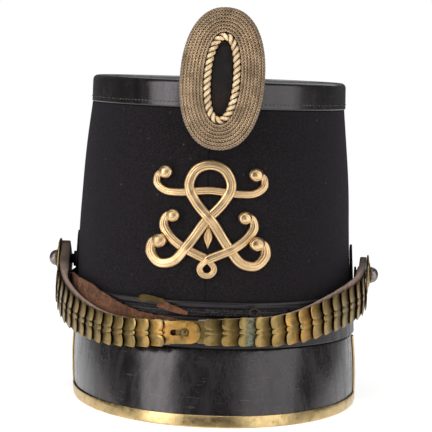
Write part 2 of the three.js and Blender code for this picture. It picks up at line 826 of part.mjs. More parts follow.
// The bud that hangs from the great scroll's crossing: height from the centre and half width.
const bud = [
  { height: -2.0, half: 0.8 },
  { height: -5.5, half: 1.2 },
  { height: -9.5, half: 2.6 },
  { height: -12.5, half: 2.4 },
  { height: -17.0, half: 0.3 },
];

// A point of the front wall under a sideways and upward place of the ornament.
function ornamentPoint(across, up, out) {
  const height = ORNAMENT.centreZ + up;
  const row = rowAt(bodyRows, "height", height);
  const x = ORNAMENT.lean + across;
  const bearing = THREE.MathUtils.radToDeg(Math.asin((x - row.lean) / row.halfWidth));
  return wallPoint(bodyRows, height, bearing).addScaledVector(wallNormal(bodyRows, height, bearing), out);
}

function strandSolid({ run, half }, mirror) {
  const flat = new THREE.SplineCurve(run.map(([x, z]) => new THREE.Vector2(mirror * x, z)));
  const count = Math.round(flat.getLength() / 5);
  const { stand, relief } = ORNAMENT;
  const section = [
    [-1, 0],
    [-0.6, 0.85],
    [0.6, 0.85],
    [1, 0],
  ];
  const rings = steps(0, 1, count).map((share) => {
    const point = flat.getPointAt(share);
    const along = flat.getTangentAt(share);
    const taper = Math.min(1, 0.72 + share * 1.2);
    return section.map(([side, rise]) =>
      ornamentPoint(
        point.x - along.y * side * half * taper,
        point.y + along.x * side * half * taper,
        stand + rise * relief,
      ),
    );
  });
  return loft(rings);
}

function budSolid() {
  const { stand, relief } = ORNAMENT;
  const rings = bud.map(({ height, half }) => [
    ornamentPoint(-half, height, stand),
    ornamentPoint(0, height, stand + relief * 0.9),
    ornamentPoint(half, height, stand),
  ]);
  return loft(rings);
}

function makeEmblem() {
  const pieces = [budSolid()];
  for (const strand of strands) {
    for (const mirror of [-1, 1]) {
      pieces.push(strandSolid(strand, mirror));
      const [x, z] = strand.run[0];
      const ball = new THREE.SphereGeometry(strand.ball, 10, 6);
      const centre = ornamentPoint(mirror * x, z, ORNAMENT.stand + strand.ball);
      ball.translate(centre.x, centre.y, centre.z);
      pieces.push(ball);
    }
  }
  addPiece("emblem", joined(pieces), gilt);
}

makeBodyShell();
makeCrownLid();
makeLowerBand();
makePeaks();
makeChinStrap();
makeBadge();
makeEmblem();

export default hat;
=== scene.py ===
"""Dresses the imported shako: felt, patent leather, brass, suede, wire braid and gilt pieces, and the stage."""

import math
import random

import bmesh
import bpy
from mathutils import Matrix, Vector, noise


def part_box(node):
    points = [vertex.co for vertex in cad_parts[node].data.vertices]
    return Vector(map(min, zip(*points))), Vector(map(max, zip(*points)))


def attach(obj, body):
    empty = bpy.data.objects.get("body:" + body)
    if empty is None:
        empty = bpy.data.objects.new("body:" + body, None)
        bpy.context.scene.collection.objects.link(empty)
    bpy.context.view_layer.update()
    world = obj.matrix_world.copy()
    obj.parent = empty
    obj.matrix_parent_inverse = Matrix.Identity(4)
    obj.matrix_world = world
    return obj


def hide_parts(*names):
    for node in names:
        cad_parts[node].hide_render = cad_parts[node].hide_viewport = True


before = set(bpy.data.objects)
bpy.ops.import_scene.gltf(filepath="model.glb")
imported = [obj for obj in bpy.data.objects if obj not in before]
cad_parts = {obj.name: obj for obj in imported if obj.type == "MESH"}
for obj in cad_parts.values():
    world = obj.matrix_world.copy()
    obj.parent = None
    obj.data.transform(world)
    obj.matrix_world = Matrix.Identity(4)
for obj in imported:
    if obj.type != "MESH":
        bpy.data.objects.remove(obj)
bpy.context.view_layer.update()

bl_info = {
    "name": "Shako Dresser",
    "version": (1, 0, 0),
    "blender": (4, 5, 0),
    "location": "View3D > Sidebar > Shako",
    "description": "Builds the visible pieces of a shako round its packed frame",
    "category": "Add Mesh",
}

MM = 0.001


# ---- The frame's own sizes ----


def measured_rows(node, top=math.inf, least_corners=12):
    """A node's half width, front, back and lean at each height where it has a ring of corners."""
    rings = {}
    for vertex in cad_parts[node].data.vertices:
        rings.setdefault(round(vertex.co.z, 4), []).append(vertex.co)
    rows = []
    for height in sorted(rings):
        if height > top or len(rings[height]) < least_corners:
            continue
        xs = [co.x for co in rings[height]]
        ys = [co.y for co in rings[height]]
        rows.append({
            "height": height,
            "half_width": (max(xs) - min(xs)) / 2,
            "front": -min(ys),
            "back": max(ys),
            "lean": (max(xs) + min(xs)) / 2,
        })
    return rows


LID_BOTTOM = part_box("crown_lid")[0].z
LID_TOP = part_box("crown_lid")[1].z
BAND_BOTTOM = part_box("lower_band")[0].z
BAND_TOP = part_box("lower_band")[1].z
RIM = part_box("body_shell")[0].z
BODY = measured_rows("body_shell", top=LID_BOTTOM - 0.5 * MM)
LID = measured_rows("crown_lid")
PEAK = measured_rows("front_peak")
GUARD = measured_rows("neck_guard")


def row_at(rows, column, value):
    """The row of a table at a value of one column, on a smooth line through the rows given."""
    last = len(rows) - 2
    i = next((k for k in range(last + 1) if value <= rows[k + 1][column]), last)
    a, b = rows[i], rows[i + 1]
    gap = b[column] - a[column]
    share = min(max((value - a[column]) / gap, 0), 1)
    before, after = rows[max(i - 1, 0)], rows[min(i + 2, last + 1)]
    blended = {}
    for key in a:
        slope_a = (b[key] - before[key]) / (b[column] - before[column]) * gap
        slope_b = (after[key] - a[key]) / (after[column] - a[column]) * gap
        blended[key] = (
            a[key] * (1 + 2 * share) * (1 - share) ** 2
            + slope_a * share * (1 - share) ** 2
            + b[key] * share**2 * (3 - 2 * share)
            - slope_b * share**2 * (1 - share)
        )
    return blended


def on_wall(rows, height, bearing, stand=0.0):
    """A point of the hat's wall. bearing is 0 at the front and grows towards +X, in degrees."""
    row = row_at(rows, "height", height)
    angle = math.radians(bearing)
    reach = row["front"] if math.cos(angle) > 0 else row["back"]
    return Vector((
        row["lean"] + (row["half_width"] + stand) * math.sin(angle),
        -(reach + stand) * math.cos(angle),
        height,
    ))


def wall_normal(rows, height, bearing):
    """The level outward direction of the hat's wall."""
    row = row_at(rows, "height", height)
    angle = math.radians(bearing)
    reach = row["front"] if math.cos(angle) > 0 else row["back"]
    return Vector((math.sin(angle) / row["half_width"], -math.cos(angle) / reach, 0)).normalized()


# ---- Mesh making ----


def steps(start, end, count):
    return [start + (end - start) * i / count for i in range(count + 1)]


def wrapped_grid(columns, rows, place, span=(1.0, 1.0), **shades):
    """A grid of quads whose corners place(column, row) puts in space, with a UV map of span metres.

    Each of shades is a point attribute for the materials: shade(column, row) is from 0 to 1.
    """
    bm = bmesh.new()
    uv = bm.loops.layers.uv.new("UVMap")
    bmesh.ops.create_grid(bm, x_segments=columns, y_segments=rows, size=1, calc_uvs=True)
    low = Vector((min(v.co.x for v in bm.verts), min(v.co.y for v in bm.verts), 0))
    high = Vector((max(v.co.x for v in bm.verts), max(v.co.y for v in bm.verts), 0))
    for face in bm.faces:
        for loop in face.loops:
            loop[uv].uv = (loop[uv].uv.x * span[0], loop[uv].uv.y * span[1])
    layers = {name: bm.verts.layers.float.new(name) for name in shades}
    for vertex in bm.verts:
        column = round((vertex.co.x - low.x) / (high.x - low.x) * columns)
        row = round((vertex.co.y - low.y) / (high.y - low.y) * rows)
        vertex.co = place(column, row)
        for name, shade in shades.items():
            vertex[layers[name]] = shade(column, row)
    return bm


def weld(bm, distance=1e-6):
    bmesh.ops.remove_doubles(bm, verts=bm.verts, dist=distance)
    bmesh.ops.dissolve_degenerate(bm, edges=bm.edges, dist=distance / 10)
    open_edges = [edge for edge in bm.edges if edge.is_boundary]
    if open_edges:
        bmesh.ops.holes_fill(bm, edges=open_edges, sides=0)
    bmesh.ops.recalc_face_normals(bm, faces=bm.faces)


def swept(stations, section, place, closed=False, span=(1.0, 1.0), **shades):
    """Sweeps a closed section through stations: place(station, point) gives each corner."""
    run = [*stations, stations[0]] if closed else list(stations)
    loop = [*section, section[0]]

    def at_corner(rule):
        return lambda i, j: rule(run[i], loop[j])

    painted = {name: at_corner(shade) for name, shade in shades.items()}
    bm = wrapped_grid(len(run) - 1, len(loop) - 1, at_corner(place), span, **painted)
    weld(bm)
    return bm


def joined(parts):
    """Puts several bmeshes into the first one."""
    bm = parts[0]
    for part in parts[1:]:
        mesh = bpy.data.meshes.new("part")
        part.to_mesh(mesh)
        part.free()
        bm.from_mesh(mesh)
        bpy.data.meshes.remove(mesh)
    return bm


def made(bm, name, materials, slot, nodes=(), sharp=40):
    """Turns a bmesh into a finished piece that rides on the hat and stands for CAD nodes."""
    mesh = bpy.data.meshes.new(name)
    bm.to_mesh(mesh)
    bm.free()
    for material in materials if isinstance(materials, (list, tuple)) else [materials]:
        mesh.materials.append(material)
    mesh.shade_smooth()
    mesh.set_sharp_from_angle(angle=math.radians(sharp))
    piece = bpy.data.objects.new(name, mesh)
    bpy.context.scene.collection.objects.link(piece)
    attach(piece, "root")
    if nodes:
        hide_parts(*nodes)
    return piece


def rounded_box_section(low, high, inner, outer, radius, corner_steps=3):
    """The closed section of a wall with rounded edges, as (up, out) pairs."""
    corners = [(high, outer, 0), (high, inner, 90), (low, inner, 180), (low, outer, 270)]
    points = []
    for up, out, start in corners:
        centre_up = up - radius if up == high else up + radius
        centre_out = out - radius if out == outer else out + radius
        for turn in steps(start, start + 90, corner_steps):
            angle = math.radians(turn)
            points.append((centre_up + radius * math.sin(angle), centre_out + radius * math.cos(angle)))
    return points


def wobble(point, size, amount, seed=0.0):
    """A smooth unevenness of a surface, between -amount and amount."""
    return amount * noise.noise(point / size + Vector((seed, seed * 2.7, seed * 0.6)))


class Route:
    """A smooth line through points, measured by the distance along it."""

    def __init__(self, controls, per_span=20):
        ends = [2 * controls[0] - controls[1], *controls, 2 * controls[-1] - controls[-2]]
        self.points = []
        for p0, p1, p2, p3 in zip(ends, ends[1:], ends[2:], ends[3:]):
            t1 = (p1 - p0).length ** 0.5
            t2 = t1 + (p2 - p1).length ** 0.5
            t3 = t2 + (p3 - p2).length ** 0.5
            for t in steps(t1, t2, per_span)[:-1]:
                a = p0 * ((t1 - t) / t1) + p1 * (t / t1)
                b = p1 * ((t2 - t) / (t2 - t1)) + p2 * ((t - t1) / (t2 - t1))
                c = p2 * ((t3 - t) / (t3 - t2)) + p3 * ((t - t2) / (t3 - t2))
                d = a * ((t2 - t) / t2) + b * (t / t2)
                e = b * ((t3 - t) / (t3 - t1)) + c * ((t - t1) / (t3 - t1))
                self.points.append(d * ((t2 - t) / (t2 - t1)) + e * ((t - t1) / (t2 - t1)))
        self.points.append(controls[-1].copy())
        self.marks = [0.0]
        for a, b in zip(self.points, self.points[1:]):
            self.marks.append(self.marks[-1] + (b - a).length)
        self.length = self.marks[-1]

    def at(self, distance):
        """The point and the direction at a distance, straight on past both ends."""
        last = len(self.points) - 2
        low, high = 0, last
        while low < high:
            middle = (low + high) // 2
            if self.marks[middle + 1] < distance:
                low = middle + 1
            else:
                high = middle
        i = low
        here, there = self.points[i], self.points[i + 1]
        span = self.marks[i + 1] - self.marks[i]
        share = (distance - self.marks[i]) / span
        along = self.tangent(i).lerp(self.tangent(i + 1), min(max(share, 0), 1)).normalized()
        return here + (there - here) * share, along

    def tangent(self, i):
        before = self.points[max(i - 1, 0)]
        after = self.points[min(i + 1, len(self.points) - 1)]
        return (after - before).normalized()


# ---- Sizes and colours that a user would change ----


def length_property(name, description, millimetres):
    return bpy.props.FloatProperty(
        name=name, description=description, default=millimetres * MM, min=0, unit="LENGTH", precision=5
    )


def colour_property(name, description, colour):
    return bpy.props.FloatVectorProperty(
        name=name, description=description, default=colour, size=3, min=0, max=1, subtype="COLOR"
    )


class ShakoSizes(bpy.types.PropertyGroup):
    """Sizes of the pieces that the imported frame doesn't give."""

    felt_wall: length_property("Felt wall", "Thickness of the felt body", 3)
    lid_edge: length_property("Lid edge", "Radius of the lid's rounded top edge", 3)
    lid_wall: length_property("Lid wall", "Thickness of the lid's leather", 1.8)
    stitch_pitch: length_property("Stitch pitch", "Distance from one stitch to the next", 2.9)
    leather_edge: length_property("Leather edge", "Radius of the cut leather edges", 0.5)
    peak_wall: length_property("Peak wall", "Thickness of the peaks", 2.6)
    trim_lip: length_property("Trim lip", "How far the brass trim reaches over the peak", 7)
    scale_length: length_property("Scale length", "Length of a chin scale along the strap", 14.5)
    scale_metal: length_property("Scale metal", "Thickness of the chin scales", 0.6)
    lobe_depth: length_property("Lobe depth", "How far the lobes of a chin scale stand out", 2.2)
    relief: length_property("Ornament relief", "Height of the ornament's strands", 2.4)
    rope: length_property("Braid wire", "Diameter of the badge's twisted wires", 0.95)


class ShakoColours(bpy.types.PropertyGroup):
    """Base colours of the finishes."""

    cloth: colour_property("Cloth", "Dark woollen cloth", (0.0078, 0.0064, 0.0074))
    felt: colour_property("Felt", "Raw felt inside the body", (0.045, 0.036, 0.03))
    patent: colour_property("Patent leather", "Black lacquered leather", (0.0085, 0.0072, 0.0078))
    trim: colour_property("Trim brass", "Brass of the peak's trim", (0.6, 0.44, 0.21))
    scale: colour_property("Scale brass", "Antique brass of the chin scales", (0.225, 0.16, 0.058))
    scale_worn: colour_property("Worn brass", "Rubbed bright places of the scales", (0.6, 0.3, 0.07))
    verdigris: colour_property("Verdigris", "Green corrosion on the scales", (0.2, 0.25, 0.19))
    button: colour_property("Button metal", "Tarnished grey metal", (0.26, 0.22, 0.2))
    leather: colour_property("Strap leather", "Worn brown leather", (0.04, 0.022, 0.017))
    suede: colour_property("Suede", "Flesh side of the lining", (0.155, 0.068, 0.036))
    braid: colour_property("Wire braid", "Tarnished silver-gilt wire", (1.0, 0.72, 0.45))
    velvet: colour_property("Velvet", "Black velvet", (0.006, 0.005, 0.005))
    gilt: colour_property("Gilt", "Gilt of the ornament", (0.82, 0.57, 0.31))


# ---- Materials ----


class Finish:
    """A node material under construction, with short ways to add its nodes."""

    def __init__(self, name, **sockets):
        self.material = bpy.data.materials.new(name)
        self.material.use_nodes = True
        self.tree = self.material.node_tree
        self.shader = self.tree.nodes["Principled BSDF"]
        self.bump_chain = None
        for key, value in sockets.items():
            self.shader.inputs[key.replace("_", " ")].default_value = value

    def node(self, kind, settings=None, **sockets):
        node = self.tree.nodes.new(kind)
        for key, value in (settings or {}).items():
            setattr(node, key, value)
        for key, value in sockets.items():
            self.feed(node.inputs[int(key[1:]) if key[1:].isdigit() else key.replace("_", " ")], value)
        return node

    def feed(self, socket, value):
        if isinstance(value, bpy.types.NodeSocket):
            self.tree.links.new(value, socket)
        else:
            socket.default_value = value

    def place(self, source="Object", stretch=(1, 1, 1), turn=(0, 0, 0)):
        """Coordinates in metres, stretched and turned."""
        origin = self.node("ShaderNodeTexCoord").outputs[source]
        mapping = self.node("ShaderNodeMapping", Vector=origin)
        mapping.inputs["Scale"].default_value = stretch
        mapping.inputs["Rotation"].default_value = turn
        return mapping.outputs[0]

    def attribute(self, name):
        """A value painted on the mesh, from 0 to 1."""
        return self.node("ShaderNodeAttribute", {"attribute_name": name}).outputs["Fac"]

    def noise(self, where, scale, detail=3.0, roughness=0.55):
        node = self.node("ShaderNodeTexNoise", Vector=where, Scale=scale, Detail=detail, Roughness=roughness)
        return node.outputs["Fac"]

    def cells(self, where, scale, feature="DISTANCE_TO_EDGE"):
        node = self.node("ShaderNodeTexVoronoi", {"feature": feature}, Vector=where, Scale=scale)
        return node.outputs["Distance"]

    def between(self, value, low, high, to_low=0.0, to_high=1.0):
        """Maps a value from one range to another, smoothly and clamped."""
        node = self.node("ShaderNodeMapRange", {"interpolation_type": "SMOOTHSTEP"}, Value=value)
        for key, number in (("From Min", low), ("From Max", high), ("To Min", to_low), ("To Max", to_high)):
            node.inputs[key].default_value = number
        return node.outputs["Result"]

    def maths(self, operation, a, b=0.0):
        return self.node("ShaderNodeMath", {"operation": operation}, _0=a, _1=b).outputs[0]

    def axis(self, where, name):
        return self.node("ShaderNodeSeparateXYZ", Vector=where).outputs[name]

    def blend(self, share, a, b):
        node = self.node("ShaderNodeMix", {"data_type": "RGBA"}, _0=share)
        self.feed(node.inputs[6], self.colour(a))
        self.feed(node.inputs[7], self.colour(b))
        return node.outputs[2]

    def colour(self, value):
        if isinstance(value, bpy.types.NodeSocket):
            return value
        return (*value, 1.0)

    def bump(self, height, depth, strength=1.0):
        """Adds one more layer of relief; depth is in metres."""
        node = self.node("ShaderNodeBump", Height=height, Distance=depth, Strength=strength)
        if self.bump_chain is not None:
            self.tree.links.new(self.bump_chain, node.inputs["Normal"])
        self.bump_chain = node.outputs["Normal"]

    def done(self, colour=None, roughness=None):
        if colour is not None:
            self.feed(self.shader.inputs["Base Color"], self.colour(colour))
        if roughness is not None:
            self.feed(self.shader.inputs["Roughness"], roughness)
        if self.bump_chain is not None:
            self.tree.links.new(self.bump_chain, self.shader.inputs["Normal"])
        return self.material


def darker(colour, share):
    return tuple(channel * share for channel in colour)


def kept(name, maker):
    """The material of that name, made once."""
    return bpy.data.materials.get(name) or maker(bpy.context.scene.shako_colours, name)


def cloth_finish(colours, name):
    f = Finish(
        name, Roughness=0.95, Sheen_Weight=0.035, Sheen_Roughness=0.5, Sheen_Tint=(0.75, 0.72, 0.85, 1),
        Specular_IOR_Level=0.1,
    )
    where = f.place()
    broad = f.between(f.noise(where, 28, 4, 0.6), 0.3, 0.72)
    fine = f.between(f.noise(where, 900, 3, 0.7), 0.3, 0.75)
    tone = f.blend(broad, darker(colours.cloth, 0.78), darker(colours.cloth, 1.45))
    tone = f.blend(fine, tone, darker(colours.cloth, 2.9))
    lint = f.between(f.cells(where, 170, "F1"), 0.06, 0.12, 1.0, 0.0)
    sparse = f.between(f.noise(where, 60, 2), 0.5, 0.6)
    tone = f.blend(f.maths("MULTIPLY", f.maths("MULTIPLY", lint, sparse), 0.7), tone, (0.1, 0.085, 0.085))
    twill = f.place("UV", (1, 1, 1), (0, 0, math.radians(52)))
    ribs = f.node("ShaderNodeTexWave", {"wave_profile": "SIN"}, Vector=twill, Scale=220, Distortion=1.5)
    f.bump(ribs.outputs["Fac"], 0.00012, 0.5)
    f.bump(f.noise(where, 1500, 4, 0.75), 0.00028, 0.9)
    f.bump(f.noise(where, 90, 3, 0.6), 0.0006, 0.35)
    return f.done(tone, f.between(broad, 0, 1, 0.86, 0.98))


def felt_finish(colours, name):
    f = Finish(name, Sheen_Weight=0.15)
    where = f.place()
    mottle = f.between(f.noise(where, 70, 5, 0.65), 0.3, 0.7)
    tone = f.blend(mottle, darker(colours.felt, 0.6), darker(colours.felt, 1.35))
    f.bump(f.noise(where, 700, 5, 0.7), 0.0005, 0.8)
    return f.done(tone, 0.96)


def patent_finish(colours, name, crazing=1.0, row=None, gloss=(0.1, 0.24), shine=0.6):
    """Lacquered leather. row gives the heights of a crumpled, sewn row, low and high."""
    f = Finish(
        name, IOR=1.5, Coat_Weight=0.12, Coat_Roughness=0.12, Specular_IOR_Level=shine,
        Specular_Tint=(1.0, 0.93, 0.98, 1),
    )
    where = f.place()
    clouds = f.between(f.noise(where, 34, 4, 0.6), 0.32, 0.72)
    tone = f.blend(clouds, darker(colours.patent, 0.7), darker(colours.patent, 1.8))
    cracks = f.between(f.cells(f.place("Object", (1, 1, 0.55)), 420), 0.0, 0.055, 1.0, 0.0)
    patchy = f.between(f.noise(where, 22, 3), 0.42, 0.66)
    cracked = f.maths("MULTIPLY", cracks, patchy)
    tone = f.blend(f.maths("MULTIPLY", cracked, 0.3 * crazing), tone, (0.035, 0.028, 0.024))
    streaks = f.noise(f.place("Object", (160, 160, 26)), 1.0, 3, 0.6)
    scratch = f.between(f.noise(f.place("Object", (60, 60, 900), (0.5, 0.3, 0.2)), 1.0, 2, 0.5), 0.66, 0.72)
    tone = f.blend(f.maths("MULTIPLY", scratch, 0.3 * crazing), tone, (0.12, 0.1, 0.09))
    rough = f.between(streaks, 0.3, 0.75, *gloss)
    rough = f.maths("ADD", rough, f.maths("MULTIPLY", clouds, 0.1))
    rough = f.maths("ADD", rough, f.maths("MULTIPLY", cracked, 0.25))
    f.bump(f.noise(where, 14, 2, 0.5), 0.0016, 0.28)
    f.bump(f.noise(where, 260, 4, 0.7), 0.0002, 0.36 * crazing)
    f.bump(cracked, 0.00005, 0.25 * crazing)
    if row:
        height = f.axis(where, "Z")
        inside = f.maths(
            "MULTIPLY",
            f.between(height, row[0] - 0.7 * MM, row[0] + 0.7 * MM),
            f.between(height, row[1] - 0.7 * MM, row[1] + 0.7 * MM, 1.0, 0.0),
        )
        crumple = f.noise(where, 330, 3, 0.6)
        f.bump(f.maths("MULTIPLY", crumple, inside), 0.006, 1.0)
        rough = f.maths("ADD", rough, f.maths("MULTIPLY", inside, -0.25))
    return f.done(tone, rough)


def brass_finish(colours, name):
    f = Finish(name, Metallic=1.0)
    where = f.place()
    stain = f.between(f.noise(where, 60, 5, 0.7), 0.42, 0.74)
    tone = f.blend(stain, darker(colours.trim, 1.06), darker(colours.trim, 0.6))
    spots = f.between(f.noise(where, 420, 3, 0.7), 0.62, 0.72)
    tone = f.blend(f.maths("MULTIPLY", spots, 0.55), tone, (0.16, 0.09, 0.035))
    lines = f.noise(f.place("Object", (90, 90, 3200)), 1.0, 2)
    f.bump(lines, 0.00005, 0.35)
    f.bump(f.noise(where, 130, 3), 0.0002, 0.3)
    return f.done(tone, f.between(f.noise(where, 210, 4, 0.7), 0.3, 0.7, 0.24, 0.46))


def scale_finish(colours, name):
    f = Finish(name, Metallic=1.0)
    where = f.place()
    olive = f.between(f.noise(where, 95, 5, 0.65), 0.34, 0.68)
    tone = f.blend(olive, darker(colours.scale, 0.6), darker(colours.scale, 1.3))
    rubbed = f.attribute("rubbed")
    patches = f.between(f.noise(where, 130, 3, 0.6), 0.35, 0.6)
    tone = f.blend(f.maths("MULTIPLY", rubbed, patches), tone, colours.scale_worn)
    # Brighter where rim is painted: on the scales a painted highlight along their edges, on the rosette its
    # outer edge.
    edge = f.attribute("rim")
    tone = f.blend(f.maths("MULTIPLY", edge, 0.55), tone, (0.62, 0.46, 0.2))
    # Near black where painted: painted shade at each scale's covered end, and the tongue clip's dark tarnish.
    soot = f.attribute("soot")
    tone = f.blend(f.maths("MULTIPLY", soot, 0.9), tone, (0.018, 0.011, 0.005))
    green = f.maths(
        "MULTIPLY",
        f.attribute("verdigris"),
        f.between(f.noise(where, 500, 4, 0.7), 0.36, 0.56),
    )
    tone = f.blend(green, tone, colours.verdigris)
    spots = f.between(f.noise(where, 700, 3, 0.7), 0.62, 0.7)
    tone = f.blend(f.maths("MULTIPLY", spots, 0.6), tone, (0.05, 0.032, 0.014))
    f.feed(f.shader.inputs["Metallic"], f.between(green, 0, 1, 1.0, 0.1))
    f.bump(f.noise(where, 260, 4, 0.6), 0.00018, 0.5)
    f.bump(green, 0.0002, 0.7)
    rough = f.between(f.noise(where, 330, 4, 0.7), 0.3, 0.7, 0.26, 0.5)
    return f.done(tone, f.maths("ADD", rough, f.maths("MULTIPLY", green, 0.4)))


def button_finish(colours, name):
    f = Finish(name, Metallic=1.0)
    where = f.place()
    stain = f.between(f.noise(where, 240, 4, 0.7), 0.35, 0.7)
    tone = f.blend(stain, darker(colours.button, 1.2), darker(colours.button, 0.5))
    f.bump(f.noise(where, 700, 4, 0.7), 0.00012, 0.6)
    return f.done(tone, f.between(stain, 0, 1, 0.26, 0.5))


def leather_finish(colours, name):
    f = Finish(name, Specular_IOR_Level=0.35)
    where = f.place()
    worn = f.between(f.noise(where, 120, 5, 0.65), 0.3, 0.7)
    tone = f.blend(worn, darker(colours.leather, 0.45), darker(colours.leather, 1.3))
    edge = f.attribute("rim")
    tone = f.blend(f.maths("MULTIPLY", edge, 0.9), tone, (0.42, 0.3, 0.24))
    f.bump(f.cells(where, 1100), 0.00012, 0.6)
    f.bump(f.noise(where, 320, 4, 0.6), 0.0003, 0.5)
    return f.done(tone, f.between(worn, 0, 1, 0.5, 0.8))


def suede_finish(colours, name):
    f = Finish(name, Sheen_Weight=0.04, Sheen_Roughness=0.6, Specular_IOR_Level=0.15)
    where = f.place()
    mottle = f.between(f.noise(where, 150, 6, 0.7), 0.32, 0.7)
    tone = f.blend(mottle, darker(colours.suede, 0.55), darker(colours.suede, 1.5))
    spots = f.between(f.noise(where, 640, 3, 0.7), 0.56, 0.64)
    tone = f.blend(f.maths("MULTIPLY", spots, 0.7), tone, (0.025, 0.015, 0.01))
    f.bump(f.noise(where, 1300, 5, 0.75), 0.0004, 0.8)
    f.bump(f.noise(where, 180, 4, 0.6), 0.0006, 0.5)
    return f.done(tone, 0.95)


def braid_finish(colours, name):
    f = Finish(name, Metallic=0.6)
    where = f.place()
    dull = f.between(f.noise(where, 110, 4, 0.7), 0.35, 0.68)
    tone = f.blend(dull, darker(colours.braid, 1.3), darker(colours.braid, 0.66))
    grain = f.between(f.noise(where, 1400, 3, 0.7), 0.42, 0.66)
    tone = f.blend(f.maths("MULTIPLY", grain, 0.55), tone, darker(colours.braid, 0.25))
    grey = f.attribute("rim")
    tone = f.blend(f.maths("MULTIPLY", grey, 0.6), tone, (0.3, 0.26, 0.23))
    # Painted shade: near-black brown behind the wires and in the valleys between them.
    soot = f.attribute("soot")
    tone = f.blend(f.maths("MULTIPLY", soot, 0.92), tone, (0.035, 0.018, 0.009))
    f.bump(f.noise(where, 2200, 3, 0.7), 0.0001, 0.6)
    return f.done(tone, f.between(dull, 0, 1, 0.34, 0.55))


def velvet_finish(colours, name):
    f = Finish(name, Sheen_Weight=0.25, Sheen_Roughness=0.35)
    where = f.place()
    pile = f.noise(where, 1600, 4, 0.7)
    rust = f.between(f.noise(where, 130, 4, 0.6), 0.5, 0.75)
    tone = f.blend(f.maths("MULTIPLY", rust, 0.4), colours.velvet, (0.05, 0.017, 0.012))
    f.bump(pile, 0.0007, 1.0)
    return f.done(tone, 1.0)


def gilt_finish(colours, name):
    f = Finish(name, Metallic=1.0)
    where = f.place()
    worn = f.between(f.noise(where, 120, 4, 0.65), 0.34, 0.7)
    tone = f.blend(worn, darker(colours.gilt, 1.08), darker(colours.gilt, 0.84))
    # Darker where groove is painted: in the strands' two grooves, the balls' spiral and the bud, and as painted
    # shade along the strands' edges.
    low = f.attribute("groove")
    tone = f.blend(f.maths("MULTIPLY", low, 0.75), tone, darker(colours.gilt, 0.34))
    spots = f.between(f.noise(where, 600, 3, 0.7), 0.6, 0.72)
    tone = f.blend(f.maths("MULTIPLY", spots, 0.3), tone, darker(colours.gilt, 0.4))
    f.bump(f.noise(where, 500, 3, 0.6), 0.0001, 0.4)
    return f.done(tone, f.between(worn, 0, 1, 0.34, 0.48))


def thread_finish(colours, name):
    f = Finish(name)
    where = f.place()
    f.bump(f.noise(where, 2500, 3, 0.7), 0.0001, 0.8)
    lightness = f.between(f.noise(where, 300, 3, 0.6), 0.3, 0.7)
    return f.done(f.blend(lightness, (0.02, 0.017, 0.017), (0.1, 0.088, 0.085)), 0.4)


def floor_finish(colours, name):
    """A white floor, a little bright of itself so that it meets the white backdrop without a line."""
    f = Finish(
        name, Roughness=0.9, Emission_Strength=0.62, Emission_Color=(1, 1, 1, 1), Specular_IOR_Level=0.1
    )
    where = f.place()
    return f.done(f.blend(f.noise(where, 3, 2), (0.9, 0.9, 0.9), (0.93, 0.93, 0.93)), 0.9)


def dress(node, material):
    """Gives a CAD node that shows as it is its material."""
    node.data.materials.clear()
    node.data.materials.append(material)


def lid_patent():
    return kept("lid_patent", lambda c, n: patent_finish(c, n, 0.7, gloss=(0.12, 0.26)))


def band_patent():
    row = (BAND_TOP - 8.5 * MM, BAND_TOP - 3.6 * MM)
    return kept("band_patent", lambda c, n: patent_finish(c, n, 0.9, row, gloss=(0.3, 0.5), shine=0.35))


def peak_patent():
    return kept("peak_patent", lambda c, n: patent_finish(c, n, 1.35, gloss=(0.16, 0.34), shine=0.6))


def paint(bm, name, value):
    """Writes a point attribute that a material reads; value(vertex) is from 0 to 1."""
    layer = bm.verts.layers.float.get(name) or bm.verts.layers.float.new(name)
    for vertex in bm.verts:
        vertex[layer] = value(vertex)


# ---- Felt body ----


def front_bearings(columns, crowding=0.62):
    """Bearings all the way round, set closer together at the front than at the back."""
    shares = steps(-1, 1, columns)
    return [180 * (s - crowding * math.sin(math.pi * s) / math.pi) for s in shares]


# Where the seam runs down the front and half its width, in degrees, and how high its lips stand.
SEAM_BEARING = -0.6
SEAM_HALF = 0.42
SEAM_LIP = 0.34 * MM


def body_mesh(sizes):
    """The cloth-covered wall, with the sewn seam down its front and a few soft hollows."""
    top = LID_TOP - sizes.lid_wall - 0.4 * MM
    pinch = sizes.lid_wall - 0.2 * MM
    outside = [(height, 0.0) for height in steps(RIM, LID_BOTTOM - 0.6 * MM, 90)]
    inside = [(height, -sizes.felt_wall) for height in steps(top, RIM, 40)]
    profile = [*outside, (LID_BOTTOM + 0.3 * MM, -pinch), (top, -pinch), *inside]

    def place(bearing, corner):
        height, stand = corner
        if stand > -pinch / 2:
            across = (bearing - SEAM_BEARING) / SEAM_HALF
            stand += SEAM_LIP * (math.exp(-((abs(across) - 1.9) ** 2)) - 1.6 * math.exp(-(across**2) * 2))
            stand += wobble(on_wall(BODY, height, bearing), 34 * MM, 0.45 * MM, 3.0)
        return on_wall(BODY, height, bearing, stand)

    bearings = front_bearings(300)[:-1]
    bm = swept(bearings, profile, place, closed=True, span=(0.62, 0.32))
    for face in bm.faces:
        centre = face.calc_center_median()
        row = row_at(BODY, "height", min(centre.z, BODY[-1]["height"]))
        reach = row["front"] if centre.y < 0 else row["back"]
        radius = math.hypot((centre.x - row["lean"]) / row["half_width"], centre.y / reach)
        face.material_index = 0 if radius > 1 - 0.75 * sizes.felt_wall / row["half_width"] else 1
    return bm


class SHAKO_OT_body(bpy.types.Operator):
    """Make the felt body in its dark cloth"""

    bl_idname = "shako.body"
    bl_label = "Felt Body"

    def execute(self, context):
        materials = [kept("woollen_cloth", cloth_finish), kept("raw_felt", felt_finish)]
        made(body_mesh(context.scene.shako_sizes), "felt_body", materials, "cloth", ["body_shell"])
        return {"FINISHED"}


# ---- Lid and band ----


